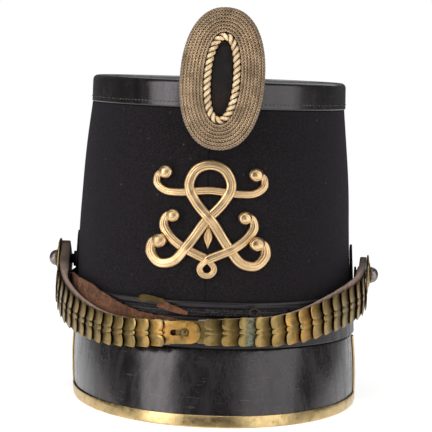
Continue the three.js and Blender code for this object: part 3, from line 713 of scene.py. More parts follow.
def stitch_row(rows, height, stand, pitch, bearings=(-180, 180), slant=0.0, size=(0.95, 0.28)):
    """A row of short sewn stitches round the hat. size is a stitch's half length and half width in mm."""
    parts = []
    bearing = bearings[0]
    while bearing < bearings[1]:
        centre = on_wall(rows, height, bearing, stand)
        out = wall_normal(rows, height, bearing)
        along = Vector((-out.y, out.x, 0))
        stitch = bmesh.new()
        bmesh.ops.create_uvsphere(stitch, u_segments=6, v_segments=4, radius=1)
        turn = Matrix((along, out, Vector((0, 0, 1)))).transposed().to_4x4()
        shape = Matrix.Diagonal((size[0] * MM, 0.2 * MM, size[1] * MM, 1))
        tilt = Matrix.Rotation(slant, 4, "Y")
        placed = Matrix.Translation(centre) @ turn @ tilt @ shape
        bmesh.ops.transform(stitch, matrix=placed, verts=stitch.verts)
        parts.append(stitch)
        radius = math.hypot(centre.x, centre.y)
        bearing += math.degrees(pitch / radius)
    return joined(parts)


# How far the lid's top sinks, and how far in from its rounded edge, in millimetres.
LID_TOP_ROWS = [
    (0.05, 0.8), (0.35, 1.8), (0.75, 3.2), (0.9, 6), (0.95, 14), (1.0, 26), (1.05, 44), (1.1, 64), (1.1, 90),
]
# How far in the rings of the lid's ceiling go, and how far above its lower edge the stitches lie.
CEILING_REACH = 78
LID_STITCHES = 3.1 * MM


def lid_mesh(sizes):
    """The leather cap: a flat, faintly sunken top, a rounded edge and a band turned down over the cloth."""
    outer = 0.0
    inner = -sizes.lid_wall
    edge = sizes.lid_edge
    ceiling = LID_TOP - sizes.lid_wall
    profile = [(ceiling, inner - reach * CEILING_REACH * MM) for reach in (1.0, 0.66, 0.33, 0.1, 0.01)]
    profile += [(height, inner) for height in steps(ceiling - 0.5 * MM, LID_BOTTOM + 0.5 * MM, 6)]
    profile += [(LID_BOTTOM, inner + 0.5 * MM), (LID_BOTTOM, outer - 0.6 * MM)]
    profile += [(LID_BOTTOM + 0.2 * MM, outer - 0.12 * MM), (LID_BOTTOM + 0.7 * MM, outer)]
    profile += [(height, outer) for height in steps(LID_BOTTOM + 1.6 * MM, LID_TOP - edge, 12)]
    profile += [
        (LID_TOP - edge * (1 - math.sin(math.radians(a))), outer - edge * (1 - math.cos(math.radians(a))))
        for a in steps(0, 90, 7)[1:]
    ]
    profile += [(LID_TOP - sink * MM, outer - edge - reach * MM) for sink, reach in LID_TOP_ROWS]
    rim = [row for row in LID if row["height"] < LID_BOTTOM + 1 * MM][-1]
    half = rim["half_width"]

    def place(bearing, corner):
        height, stand = corner
        if stand < -half * 0.9:
            stand = -half
        angle = math.radians(bearing)
        reach = rim["front"] if math.cos(angle) > 0 else rim["back"]
        shrink = (half + stand) / half
        taper = 1 - 0.0035 * (height - LID_BOTTOM) / (LID_TOP - LID_BOTTOM)
        point = Vector((
            rim["lean"] + half * shrink * taper * math.sin(angle),
            -(reach + stand if stand > -10 * MM else reach * shrink) * taper * math.cos(angle),
            height,
        ))
        if stand > -20 * MM:
            groove = (height - LID_BOTTOM - LID_STITCHES) / (0.55 * MM)
            dip = 0.14 * MM * math.exp(-(groove**2)) if stand > -0.5 * MM else 0
            push = wobble(point, 26 * MM, 0.28 * MM, 9.0) - dip
            point += push * Vector((math.sin(angle), -math.cos(angle), 0))
        else:
            point.z -= abs(wobble(point, 38 * MM, 0.5 * MM, 5.0))
        return point

    bearings = steps(-180, 180, 220)[:-1]
    run = [*bearings, bearings[0]]
    bm = wrapped_grid(len(run) - 1, len(profile) - 1, lambda i, j: place(run[i], profile[j]), (0.55, 0.2))
    weld(bm, 2e-6)
    return bm


class SHAKO_OT_lid(bpy.types.Operator):
    """Make the patent-leather lid and its stitches"""

    bl_idname = "shako.lid"
    bl_label = "Lid"

    def execute(self, context):
        sizes = context.scene.shako_sizes
        made(lid_mesh(sizes), "lid", lid_patent(), "patent_leather", ["crown_lid"], sharp=60)
        rows = [{**LID[0], "height": LID_BOTTOM}, {**LID[0], "height": LID_TOP}]
        height = LID_BOTTOM + LID_STITCHES
        stitches = stitch_row(rows, height, 0.05 * MM, sizes.stitch_pitch, size=(1.05, 0.36))
        made(stitches, "lid_stitches", kept("dark_thread", thread_finish), "patent_leather")
        return {"FINISHED"}


# The band's relief below its top edge, in millimetres: a bead, a groove, and the groove of the stitches.
BAND_STITCHES = 6.0
BAND_RELIEF = [
    {"drop": 1.1, "half": 0.8, "rise": 0.3},
    {"drop": 2.7, "half": 0.6, "rise": -0.28},
    {"drop": BAND_STITCHES, "half": 0.7, "rise": -0.25},
]


def band_mesh(sizes):
    """The leather band round the foot of the body, with a raised bead along its top edge."""
    inner, outer = 0.3 * MM, 1.8 * MM
    section = rounded_box_section(BAND_BOTTOM, BAND_TOP, inner, outer, sizes.leather_edge)
    face = [(height, outer) for height in steps(BAND_BOTTOM + 1 * MM, BAND_TOP - 1 * MM, 34)]
    last = section.index(next(point for point in section if point[1] == outer and point[0] < RIM + 5 * MM))
    section = [*face, *section[: last + 1]]

    def place(bearing, corner):
        height, stand = corner
        if stand > inner + 0.7 * MM:
            drop = (BAND_TOP - height) / MM
            for row in BAND_RELIEF:
                stand += row["rise"] * MM * math.exp(-(((drop - row["drop"]) / row["half"]) ** 2))
            stand += wobble(on_wall(BODY, height, bearing), 20 * MM, 0.3 * MM, 12.0)
        return on_wall(BODY, height, bearing, stand)

    return swept(steps(-180, 180, 300)[:-1], section, place, closed=True, span=(0.62, 0.06))


class SHAKO_OT_band(bpy.types.Operator):
    """Make the lower band and the sewn row below its top edge"""

    bl_idname = "shako.band"
    bl_label = "Lower Band"

    def execute(self, context):
        sizes = context.scene.shako_sizes
        made(band_mesh(sizes), "band", band_patent(), "patent_leather", ["lower_band"], sharp=60)
        height = BAND_TOP - BAND_STITCHES * MM
        stitches = stitch_row(BODY, height, 1.75 * MM, sizes.stitch_pitch * 0.62, slant=0.5, size=(0.62, 0.3))
        made(stitches, "band_stitches", kept("lacquered_thread", band_thread_finish), "patent_leather")
        return {"FINISHED"}


def band_thread_finish(colours, name):
    f = Finish(name, Coat_Weight=0.6, Coat_Roughness=0.1)
    where = f.place()
    f.bump(f.noise(where, 1500, 3, 0.7), 0.0002, 0.6)
    lightness = f.between(f.noise(where, 300, 3, 0.6), 0.3, 0.7)
    return f.done(f.blend(lightness, (0.01, 0.009, 0.009), (0.06, 0.055, 0.052)), 0.22)


# ---- Peaks and trim ----


# Bearings, in degrees, at which the front peak and its trim end, and between which the rear peak runs.
PEAK_END = 86.2
TRIM_END = 87.0
GUARD_ENDS = (104, 256)


def on_peak(rows, height, bearing, stand=0.0):
    """A point of a peak's outside, which runs straight from the rim to the floor with a faint bulge."""
    low, high = rows[0], rows[-1]
    share = (height - low["height"]) / (high["height"] - low["height"])
    row = {key: low[key] + (high[key] - low[key]) * share for key in low}
    angle = math.radians(bearing)
    reach = row["front"] if math.cos(angle) > 0 else row["back"]
    bulge = 0.9 * MM * math.sin(math.pi * min(max(share, 0), 1))
    stand += bulge
    return Vector((
        row["lean"] + (row["half_width"] + stand) * math.sin(angle),
        -(reach + stand) * math.cos(angle),
        height,
    ))


def peak_mesh(sizes, rows, low, high, bearings, seed):
    """A leather peak hung below the rim between two bearings, with softly rounded edges."""
    section = rounded_box_section(low, high, -sizes.peak_wall, 0.0, sizes.leather_edge)
    face = [(height, 0.0) for height in steps(low + 1.2 * MM, high - 1.2 * MM, 26)]
    back = [(height, -sizes.peak_wall) for height in steps(high - 1.2 * MM, low + 1.2 * MM, 8)]
    top = section[: len(section) // 2]
    bottom = section[len(section) // 2 :]
    section = [*face, *top, *back, *bottom]

    def place(bearing, corner):
        height, stand = corner
        point = on_peak(rows, height, bearing, stand)
        push = wobble(point, 30 * MM, 0.35 * MM, seed)
        angle = math.radians(bearing)
        return point + push * Vector((math.sin(angle), -math.cos(angle), 0))

    return swept(steps(*bearings, 200), section, place, span=(0.3, 0.1))


def trim_section(sizes):
    """The trim's channel: (into, across) pairs from the edge into the leather, with rounded folds."""
    half = sizes.peak_wall / 2
    outer, inner, wall, lip = half + 1.0 * MM, half + 0.3 * MM, 0.7 * MM, sizes.trim_lip
    fold = 0.9 * MM
    across_low = [
        (fold * (1 - math.sin(math.radians(a))), -outer + fold * (1 - math.cos(math.radians(a))))
        for a in steps(0, 90, 4)
    ]
    across_high = [(into, -across) for into, across in reversed(across_low)]
    lip_out = [
        (lip - 0.35 * MM, outer), (lip - 0.1 * MM, outer - 0.1 * MM), (lip, outer - 0.35 * MM), (lip, inner),
    ]
    front = [*across_high, (lip * 0.35, outer + 0.12 * MM), (lip * 0.7, outer + 0.12 * MM), *lip_out]
    back = [(into, -across) for into, across in reversed(front[len(across_high) :])]
    hollow = [(wall, inner), (wall, -inner)]
    return [*front, *hollow, *back, *across_low]


def trim_mesh(sizes):
    """The brass channel down one end of the peak, along its lower edge and up the other end."""
    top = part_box("peak_trim")[1].z
    mid = -sizes.peak_wall / 2
    per_degree = 1.62 * MM  # round the peak, at its ends
    turn, first = 5, 9 * MM  # the room that each lower corner takes, in degrees and up the end
    stations = [(height, -TRIM_END, 0.0, 1.0) for height in steps(top, first, 10)]
    stations += [(0.0, -TRIM_END, 1.0, 1.0)]
    stations += [(0.0, bearing, 1.0, 0.0) for bearing in steps(-TRIM_END + turn, TRIM_END - turn, 170)]
    stations += [(0.0, TRIM_END, 1.0, -1.0)]
    stations += [(height, TRIM_END, 0.0, -1.0) for height in steps(first, top, 10)]
    low, high = PEAK[0], PEAK[-1]
    slope = {key: (high[key] - low[key]) / (high["height"] - low["height"]) for key in low}
    ground = {key: low[key] - slope[key] * low["height"] for key in low}
    rows = [{**ground, "height": 0.0}, *PEAK[1:]]

    def place(station, corner):
        height, bearing, up, side = station
        into, across = corner
        return on_peak(rows, height + up * into, bearing + side * into / per_degree, mid + across)

    return swept(stations, trim_section(sizes), place, span=(0.42, 0.02))


class SHAKO_OT_peaks(bpy.types.Operator):
    """Make the front peak with its brass trim, and the rear peak"""

    bl_idname = "shako.peaks"
    bl_label = "Peaks"

    def execute(self, context):
        sizes = context.scene.shako_sizes
        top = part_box("front_peak")[1].z
        front = peak_mesh(sizes, PEAK, PEAK[0]["height"], top, (-PEAK_END, PEAK_END), 21.0)
        made(front, "peak", peak_patent(), "patent_leather", ["front_peak"], sharp=60)
        brass = kept("rolled_brass", brass_finish)
        made(trim_mesh(sizes), "trim", brass, "trim_brass", ["peak_trim"], sharp=50)
        rear = peak_mesh(sizes, GUARD, 0.0, top, GUARD_ENDS, 31.0)
        made(rear, "rear_peak", peak_patent(), "patent_leather", ["neck_guard"], sharp=60)
        return {"FINISHED"}


# ---- Chin strap ----

# Half the leather's thickness, how far each of its edges lies inside the scales', and its round end's radius.
LEATHER_HALF = 1.0 * MM
LEATHER_INSET = 0.8 * MM
NOSE_RADIUS = 11.4 * MM
# The lobed edge of each half's first scale, from the boss, and how far each scale tips up, in degrees.
FIRST_SCALE_EDGE = 29 * MM
SCALE_TILT = 7.4
# Where each half's leather ends, sideways from the hat's middle.
LEATHER_END_X = {"left": -22 * MM, "right": -5 * MM}

# The middle line of each half of the strap from its boss to the middle: bearing in degrees, the rest in mm.
STRAP_ROWS = {
    "left": [
        {"bearing": 90, "height": 83, "stand": 10},
        {"bearing": 86.5, "height": 75.3, "stand": 10.3},
        {"bearing": 82, "height": 69.3, "stand": 10.4},
        {"bearing": 75, "height": 63, "stand": 9.4},
        {"bearing": 65, "height": 57, "stand": 7.3},
        {"bearing": 53, "height": 52.8, "stand": 5.4},
        {"bearing": 41, "height": 50.8, "stand": 4.7},
        {"bearing": 27, "height": 51, "stand": 4.6},
        {"bearing": 12, "height": 53.2, "stand": 4.6},
        {"bearing": 2, "height": 54.2, "stand": 4.6},
    ],
    "right": [
        {"bearing": 90, "height": 80, "stand": 6.8},
        {"bearing": 83, "height": 74.4, "stand": 6.9},
        {"bearing": 75, "height": 70.4, "stand": 7.0},
        {"bearing": 66, "height": 67.2, "stand": 6.0},
        {"bearing": 51, "height": 62.6, "stand": 4.4},
        {"bearing": 37, "height": 57.8, "stand": 3.6},
        {"bearing": 25, "height": 55.3, "stand": 3.4},
        {"bearing": 13, "height": 55.0, "stand": 3.4},
        {"bearing": 2, "height": 54.4, "stand": 3.4},
        {"bearing": -14, "height": 54.2, "stand": 3.4},
    ],
}
# How tall the scales are along each half, as a share of its length.
SCALE_HEIGHTS = [
    {"share": 0, "height": 24 * MM},
    {"share": 0.3, "height": 23.5 * MM},
    {"share": 0.7, "height": 18.5 * MM},
    {"share": 1, "height": 14.6 * MM},
]
# The scales of each half: how many, and where the last lobed edge lies.
SCALE_RUNS = {
    "left": {"count": 14, "last_edge_x": -24 * MM},
    "right": {"count": 15, "last_edge_x": -1.8 * MM},
}
# How much the leather is padded on its inner side by the boss, and how that thins along the strap.
PADDING = {"left": 3.5 * MM, "right": 2 * MM}
PADDING_ROWS = [
    {"distance": -13 * MM, "share": 0.2},
    {"distance": -7 * MM, "share": 1},
    {"distance": 26 * MM, "share": 1},
    {"distance": 44 * MM, "share": 0},
    {"distance": 400 * MM, "share": 0},
]
# How far the leather's upper edge stands above the scales, past the boss.
CREST_ROWS = [
    {"distance": -13 * MM, "crest": 0},
    {"distance": 6 * MM, "crest": 0},
    {"distance": 22 * MM, "crest": 4.2 * MM},
    {"distance": 40 * MM, "crest": 3.2 * MM},
    {"distance": 70 * MM, "crest": 1.6 * MM},
    {"distance": 110 * MM, "crest": 0},
    {"distance": 400 * MM, "crest": 0},
]


class Strap:
    """One half of the chin strap, measured from its boss."""

    def __init__(self, side):
        self.side = side
        self.turn = -1 if side == "left" else 1
        controls = []
        for row in STRAP_ROWS[side]:
            point = on_wall(BODY, RIM, self.turn * row["bearing"], row["stand"] * MM)
            controls.append(Vector((point.x, point.y, row["height"] * MM)))
        self.route = Route(controls)
        self.length = self.route.length

    def frame_at(self, distance):
        """The point, and the directions along the strap, out from the hat and across the strap."""
        point, along = self.route.at(distance)
        rim = BODY[0]
        out = Vector((point.x / rim["half_width"] ** 2, point.y / rim["front"] ** 2, 0)).normalized()
        out = (out - out.dot(along) * along).normalized()
        across = out.cross(along)
        return point, along, out, across

    def place(self, distance, up, out_by):
        """A point of the strap; up is positive towards the strap's upper edge."""
        point, _, out, across = self.frame_at(distance)
        return point - across * up * self.turn + out * out_by

    def distance_at_x(self, x):
        low, high = self.length / 2, self.length
        for _ in range(30):
            middle = (low + high) / 2
            if (self.route.at(middle)[0].x - x) * self.turn > 0:
                low = middle
            else:
                high = middle
        return low

    def scale_height(self, distance):
        return row_at(SCALE_HEIGHTS, "share", min(max(distance / self.length, 0), 1))["height"]


def strap_strip(strap, stations, inner, outer, radius, seed=0.0, span=(0.2, 0.05), doubled=False):
    """A strip that follows the strap. stations are (distance, half width) pairs."""

    def place(station, corner):
        distance, half = station
        up, out = corner
        ragged = wobble(Vector((distance, 0, up)), 7 * MM, 0.25 * MM, seed) if seed else 0
        if doubled and out < 0:
            out -= row_at(PADDING_ROWS, "distance", distance)["share"] * PADDING[strap.side]
        crest = row_at(CREST_ROWS, "distance", distance)["crest"] if doubled and up > 0 else 0
        return strap.place(distance, up * (half + ragged + crest), out)

    corners = [
        (1.0, inner + radius), (1.0, outer - radius), (1.0 - 0.04, outer), (0.5, outer), (0.0, outer),
        (-0.5, outer), (-1.0 + 0.04, outer), (-1.0, outer - radius), (-1.0, inner + radius),
        (-1.0 + 0.04, inner), (-0.5, inner), (0.0, inner), (0.5, inner), (1.0 - 0.04, inner),
    ]
    return swept(stations, corners, place, span=span)


def strap_leather_mesh(strap, end_distance):
    nose = [
        (-NOSE_RADIUS * math.cos(math.radians(a)), NOSE_RADIUS * math.sin(math.radians(a)))
        for a in steps(6, 84, 10)
    ]
    run = [(d, strap.scale_height(d) / 2 - LEATHER_INSET) for d in steps(2 * MM, end_distance, 110)]
    stations = [*nose, *run]
    bm = strap_strip(strap, stations, -LEATHER_HALF, LEATHER_HALF, 0.45 * MM, seed=4.0, doubled=True)
    paint(bm, "rim", lambda v: strap_edge_share(strap, v.co))
    return bm


def strap_edge_share(strap, co):
    """How close a point of the strap's leather is to its upper or lower edge."""
    best = min(range(0, len(strap.route.points), 4), key=lambda i: (strap.route.points[i] - co).length)
    distance = strap.route.marks[best]
    half = strap.scale_height(distance) / 2 - LEATHER_INSET
    _, _, _, across = strap.frame_at(distance)
    offset = -(co - strap.route.points[best]).dot(across) * strap.turn
    if offset > 0:
        half += row_at(CREST_ROWS, "distance", distance)["crest"]
    worn = min(max((distance - 12 * MM) / (25 * MM), 0.25), 1)
    return min(max((abs(offset) - half + 1.2 * MM) / (1.0 * MM), 0), 1) * worn


class SHAKO_OT_strap(bpy.types.Operator):
    """Make the two leather halves of the chin strap"""

    bl_idname = "shako.strap"
    bl_label = "Strap Leather"

    def execute(self, context):
        material = kept("worn_leather", leather_finish)
        for side, end_x in LEATHER_END_X.items():
            strap = Strap(side)
            bm = strap_leather_mesh(strap, strap.distance_at_x(end_x))
            made(bm, f"chin_strap_{side}", material, "strap_leather", [f"strap_leather_{side}"], sharp=60)
        return {"FINISHED"}


SMALL_LOBE = 0.17


def lobe(across, half):
    """How far a scale's lobed edge stands out at a place across it, from 0 in the notches to 1."""
    small = SMALL_LOBE * half
    place = abs(across)
    if place <= small:
        return 0.85 * math.sqrt(max(1 - (place / small) ** 2, 0))
    centre, radius = (small + half) / 2, (half - small) / 2
    return math.sqrt(max(1 - ((place - centre) / radius) ** 2, 0))


def lobe_rows(half, large=9, little=6):
    """Places across a scale, close together in the notches between its lobes."""
    small = SMALL_LOBE * half
    spans = [(-half, -small, large), (-small, small, little), (small, half, large)]
    rows = []
    for low, high, count in spans:
        rows += [low + (high - low) * (1 - math.cos(math.pi * k / count)) / 2 for k in range(count)]
    return [*rows, half]


def scale_mesh(sizes, height, dish, rng):
    """One chin scale lying flat: its lobed edge is at x = 0, its plain end behind it."""
    half = height / 2
    rows = lobe_rows(half)
    along = [0, 0.2, 0.4, 0.55, 0.68, 0.79, 0.87, 0.93, 0.97, 1.0]
    length, depth = sizes.scale_length, sizes.lobe_depth
    bend = rng.uniform(-0.12, 0.12) * MM

    def shape(i, j):
        y = rows[j]
        reach = lobe(y, half)
        x = -length + (length - depth + depth * reach) * along[i]
        crown = dish * (1 - (y / half) ** 2)
        swell = 0.16 * MM * reach * along[i] ** 5
        roll = -0.42 * MM * along[i] ** 16
        from_notch = (abs(y) - SMALL_LOBE * half) / (0.07 * half)
        crease = -0.16 * MM * math.exp(-(from_notch**2)) * along[i] ** 9
        taper = 0.93 + 0.07 * along[i] ** 1.5
        return Vector((x, y * taper, crown + swell + roll + crease + bend * along[i] ** 2))

    # Painted shade: each scale darkens towards its covered end, where the next scale's lobed edge shades it.
    def soot(i, j):
        return min(max((0.78 - along[i]) / 0.45, 0), 1)

    bm = wrapped_grid(len(along) - 1, len(rows) - 1, shape, (length, height), soot=soot)
    bmesh.ops.recalc_face_normals(bm, faces=bm.faces)
    if sum(face.normal.z for face in bm.faces) < 0:
        bmesh.ops.reverse_faces(bm, faces=bm.faces)
    edge_corners = {v for edge in bm.edges if edge.is_boundary for v in edge.verts}
    # Painted highlight: the scale's edges, and a band beside them, are painted brighter.
    rim = bm.verts.layers.float.new("rim")
    for vertex in bm.verts:
        near = vertex.co.x > -depth * 2.2 or abs(vertex.co.y) > half * 0.93
        vertex[rim] = 1.0 if vertex in edge_corners else (0.35 if near else 0.0)
    bmesh.ops.solidify(bm, geom=bm.faces[:] + bm.edges[:] + bm.verts[:], thickness=sizes.scale_metal)
    return bm


# The scales that are rubbed bright, how much, and the strip of the strap that is stained green.
RUBBED = {("right", 8): 0.85, ("right", 9): 1.0, ("right", 7): 0.4, ("left", 13): 0.55, ("left", 12): 0.35}
STAINED = [("right", 11), ("right", 12)]
STAIN = {"x": 25.4 * MM, "half": 1.5 * MM}


def stain_share(co):
    """How green a place on the strap is."""
    off = abs(co.x + wobble(co, 4 * MM, 1.5 * MM, 3.0) - STAIN["x"])
    return min(max(1.4 - off / STAIN["half"], 0), 1)


class SHAKO_OT_scales(bpy.types.Operator):
    """Make the overlapping brass scales of the chin strap"""

    bl_idname = "shako.scales"
    bl_label = "Chin Scales"

    def execute(self, context):
        sizes = context.scene.shako_sizes
        material = kept("chin_scale_brass", scale_finish)
        rng = random.Random(7)
        tilt = math.radians(SCALE_TILT)
        lift = LEATHER_HALF + 0.5 * MM + sizes.scale_length / 2 * math.sin(tilt)
        for side, run in SCALE_RUNS.items():
            strap = Strap(side)
            last = strap.distance_at_x(run["last_edge_x"])
            pitch = (last - FIRST_SCALE_EDGE) / (run["count"] - 1)
            for i in range(run["count"]):
                edge = FIRST_SCALE_EDGE + pitch * i
                bm = scale_mesh(sizes, strap.scale_height(edge), 0.55 * MM, rng)
                point, along, out, _ = strap.frame_at(edge - sizes.scale_length / 2)
                basis = Matrix((along, out.cross(along), out)).transposed().to_4x4()
                place = (
                    Matrix.Translation(point + out * lift)
                    @ basis
                    @ Matrix.Rotation(-tilt, 4, "Y")
                    @ Matrix.Rotation(rng.uniform(-0.025, 0.025), 4, "Z")
                    @ Matrix.Translation((sizes.scale_length / 2, 0, 0))
                )
                bmesh.ops.transform(bm, matrix=place, verts=bm.verts)
                stained = (side, i) in STAINED
                paint(bm, "verdigris", lambda v: stain_share(v.co) if stained else 0.0)
                wear = RUBBED.get((side, i), rng.uniform(0.0, 0.22))
                paint(bm, "rubbed", lambda v: wear)
                name = f"scale_{side}_{i + 1:02d}"
                made(bm, f"brass_{name}", material, "scale_brass", [name], sharp=50)
        return {"FINISHED"}


# ---- Strap fastening ----


# Where the fastening's pieces start and end, sideways from the hat's middle, and half widths, in millimetres.
FASTENING = {
    "tongue": (-29, -3), "slot": (-21, -10.4), "plate": (3.5, -18), "stud": -12.8,
    "half": 6.8, "slot_half": 1.75,
}
# The stud's shank and domed head: (radius, height) pairs in millimetres.
STUD = [
    (0, 0.85), (1.2, 0.85), (1.2, 2.3), (2.2, 2.35), (2.3, 2.7), (2.0, 3.3), (1.4, 3.75), (0.7, 3.95),
    (0, 4.0),
]


def slotted_tongue(strap, half, start, end, slot):
    """A flat brass tongue along the strap with a round end and a slot with round ends."""
    thickness = 0.65 * MM
    face = LEATHER_HALF + 0.35 * MM
    bm = bmesh.new()
    outline = [(start, -half)]
    nose = end - half
    outline += [
        (nose + half * math.cos(math.radians(a)), half * math.sin(math.radians(a)))
        for a in steps(-90, 90, 20)
    ]
    outline += [(start, half)]
    hole = []
    radius = slot["half"]
    for centre, first in ((slot["end"] - radius, -90), (slot["start"] + radius, 90)):
        hole += [
            (centre + radius * math.cos(math.radians(a)), radius * math.sin(math.radians(a)))
            for a in steps(first, first + 180, 10)
        ]
    edges = []
    for ring in (outline, hole):
        corners = [bm.verts.new((along, up, 0)) for along, up in ring]
        for a, b in zip(corners, [*corners[1:], corners[0]]):
            edges.append(bm.edges.new((a, b)))
    bmesh.ops.triangle_fill(bm, edges=edges, use_beauty=True)
    for plane in steps(start, end, 12)[1:-1]:
        geometry = bm.verts[:] + bm.edges[:] + bm.faces[:]
        bmesh.ops.bisect_plane(bm, geom=geometry, plane_co=(plane, 0, 0), plane_no=(1, 0, 0))
    bmesh.ops.recalc_face_normals(bm, faces=bm.faces)
    if sum(f.normal.z for f in bm.faces) < 0:
        bmesh.ops.reverse_faces(bm, faces=bm.faces)
    bmesh.ops.solidify(bm, geom=bm.faces[:], thickness=thickness)
    rim_edges = [
        edge for edge in bm.edges if len(edge.link_faces) == 2 and edge.calc_face_angle(0) > math.radians(60)
    ]
    bmesh.ops.bevel(
        bm, geom=rim_edges, offset=0.14 * MM, segments=2, affect="EDGES", profile=0.5, material=-1
    )
    highest = max(v.co.z for v in bm.verts)
    for vertex in bm.verts:
        along, up, out = vertex.co
        vertex.co = strap.place(along, up, face + thickness + out - highest)
    return bm


class SHAKO_OT_fastening(bpy.types.Operator):
    """Make the slotted tongue, the plate under it and the stud"""

    bl_idname = "shako.fastening"
    bl_label = "Strap Fastening"

    def execute(self, context):
        material = kept("chin_scale_brass", scale_finish)
        left, right = Strap("left"), Strap("right")
        half = FASTENING["half"] * MM

        def ends(strap, name):
            return [strap.distance_at_x(x * MM) for x in FASTENING[name]]

        start, end = ends(left, "slot")
        slot = {"start": start, "end": end, "half": FASTENING["slot_half"] * MM}
        tongue = slotted_tongue(left, half, *ends(left, "tongue"), slot)
        paint(tongue, "rim", lambda v: 0.1)
        paint(tongue, "rubbed", lambda v: 0.7)
        made(tongue, "slotted_tongue", material, "scale_brass", ["end_plate_left"], sharp=35)

        stations = [(d, half - 0.4 * MM) for d in steps(*ends(right, "plate"), 8)]
        plate = strap_strip(right, stations, LEATHER_HALF + 0.3 * MM, LEATHER_HALF + 1.0 * MM, 0.12 * MM)
        made(plate, "under_plate", material, "scale_brass", ["end_plate_right"], sharp=35)

        point, _, out, _ = left.frame_at(left.distance_at_x(FASTENING["stud"] * MM))
        stud = turned(STUD, point, out, 24)
        made(stud, "stud", material, "scale_brass", ["strap_stud"], sharp=50)
        return {"FINISHED"}


def turned(profile, origin, axis, segments):
    """A turned piece: profile is (radius, height) pairs in millimetres from the axis outwards."""
    bm = bmesh.new()
    corners = [bm.verts.new((radius * MM, 0, height * MM)) for radius, height in profile]
    edges = [bm.edges.new(pair) for pair in zip(corners, corners[1:])]
    bmesh.ops.spin(
        bm, geom=corners + edges, cent=(0, 0, 0), axis=(0, 0, 1), angle=math.tau, steps=segments,
        use_merge=True,
    )
    bmesh.ops.remove_doubles(bm, verts=bm.verts, dist=1e-7)
    bmesh.ops.recalc_face_normals(bm, faces=bm.faces)
    turn = axis.to_track_quat("Z", "Y").to_matrix().to_4x4()
    bmesh.ops.transform(bm, matrix=Matrix.Translation(origin) @ turn, verts=bm.verts)
    return bm


# ---- Side fittings ----

# The rosette and its button: (radius, height) pairs in millimetres. The button's profile ends at its top.
ROSETTE = [
    (3.3, 0.0), (12.4, 0.0), (13.0, 0.35), (12.9, 0.8), (12.2, 1.15), (11.2, 1.2), (10.6, 0.95), (10.0, 1.25),
    (9.0, 1.5), (8.4, 1.35), (7.8, 1.75), (6.6, 2.2), (5.6, 2.2), (3.3, 2.2), (3.3, 0.0),
]
DOME = [
    (0, 0), (5.1, 0), (5.3, 0.25), (5.3, 0.6), (5.0, 0.8), (4.95, 1.1), (4.7, 2.1), (4.1, 3.2), (3.1, 4.1),
    (2.0, 4.65), (1.0, 4.93), (0, 5.0),
]
PETALS = 16
# Half of a tab's width in degrees, and how much thicker each tab is below its boss, in millimetres.
TAB_HALF = 5.4
TAB_SWELL = {"left": 2.7, "right": 0.8}


def tab_mesh(side, top):
    """A leather tab on the body's side, with a rounded top."""
    middle = -90 if side == "left" else 90
    base = BAND_TOP + 0.3 * MM
    boss = STRAP_ROWS[side][0]["height"] * MM
    swell_rows = [
        {"height": 0, "swell": TAB_SWELL[side]},
        {"height": boss - 7.5 * MM, "swell": TAB_SWELL[side]},
        {"height": boss - 6 * MM, "swell": 0},
        {"height": boss * 2, "swell": 0},
    ]
    arch = 8 * MM
    rows = [(base, TAB_HALF - 0.1), (base + 1 * MM, TAB_HALF)]
    rows += [(height, TAB_HALF) for height in steps(base + 2 * MM, top - arch, 30)]
    rows += [
        (top - arch * (1 - math.sin(math.radians(a))), TAB_HALF * math.cos(math.radians(a)) + 0.2)
        for a in steps(15, 88, 8)
    ]
    section = [
        (-1.0, 0.5), (-1.0, 1.3), (-0.93, 1.7), (-0.5, 1.8), (0.0, 1.8), (0.5, 1.8), (0.93, 1.7), (1.0, 1.3),
        (1.0, 0.5), (0.93, 0.35), (0.0, 0.3), (-0.93, 0.35),
    ]

    def place(row, corner):
        height, half = row
        side_share, stand = corner
        if stand > 1:
            stand += row_at(swell_rows, "height", height)["swell"]
        return on_wall(BODY, height, middle + half * side_share, stand * MM)

    return swept(rows, section, place, span=(0.03, 0.02))


def tab_finish(colours, name):
    f = Finish(name, Specular_IOR_Level=0.15)
    where = f.place()
    f.bump(f.noise(where, 500, 4, 0.6), 0.0002, 0.6)
    worn = f.between(f.noise(where, 200, 4, 0.6), 0.35, 0.7)
    return f.done(f.blend(worn, (0.006, 0.005, 0.005), (0.022, 0.017, 0.015)), 0.8)


class SHAKO_OT_side_fittings(bpy.types.Operator):
    """Make the side tabs, the rosettes, their buttons and posts"""

    bl_idname = "shako.side_fittings"
    bl_label = "Side Fittings"

    def execute(self, context):
        brass = kept("chin_scale_brass", scale_finish)
        grey = kept("grey_button_metal", button_finish)
        leather = kept("tab_leather", tab_finish)
        for side in ("left", "right"):
            axis = Vector((-1 if side == "left" else 1, 0, 0))
            low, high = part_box(f"boss_disc_{side}")
            height = (low.z + high.z) / 2
            face = min(abs(low.x), abs(high.x))
            disc = turned(ROSETTE, Vector((axis.x * face, 0, height)), axis, 48)
            for vertex in disc.verts:
                radius = math.hypot(vertex.co.y, vertex.co.z - height)
                if radius > 9.5 * MM:
                    angle = math.atan2(vertex.co.z - height, vertex.co.y)
                    scallop = 1 - 0.028 * (1 + math.cos(PETALS * angle)) * (radius / (13 * MM)) ** 3
                    vertex.co.y *= scallop
                    vertex.co.z = height + (vertex.co.z - height) * scallop
            paint(disc, "rim", lambda v: 0.55 if math.hypot(v.co.y, v.co.z - height) > 11.8 * MM else 0.1)
            made(disc, f"rosette_{side}", brass, "scale_brass", [f"boss_disc_{side}"], sharp=50)
            low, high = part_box(f"boss_button_{side}")
            base = Vector((axis.x * min(abs(low.x), abs(high.x)), 0, height))
            dome = turned(DOME, base, axis, 36)
            made(dome, f"dome_{side}", grey, "button_metal", [f"boss_button_{side}"])
            tab = tab_mesh(side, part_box(f"side_tab_{side}")[1].z)
            made(tab, f"tab_{side}", leather, "patent_leather", [f"side_tab_{side}"], sharp=60)
            dress(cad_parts[f"boss_post_{side}"], leather)
        return {"FINISHED"}


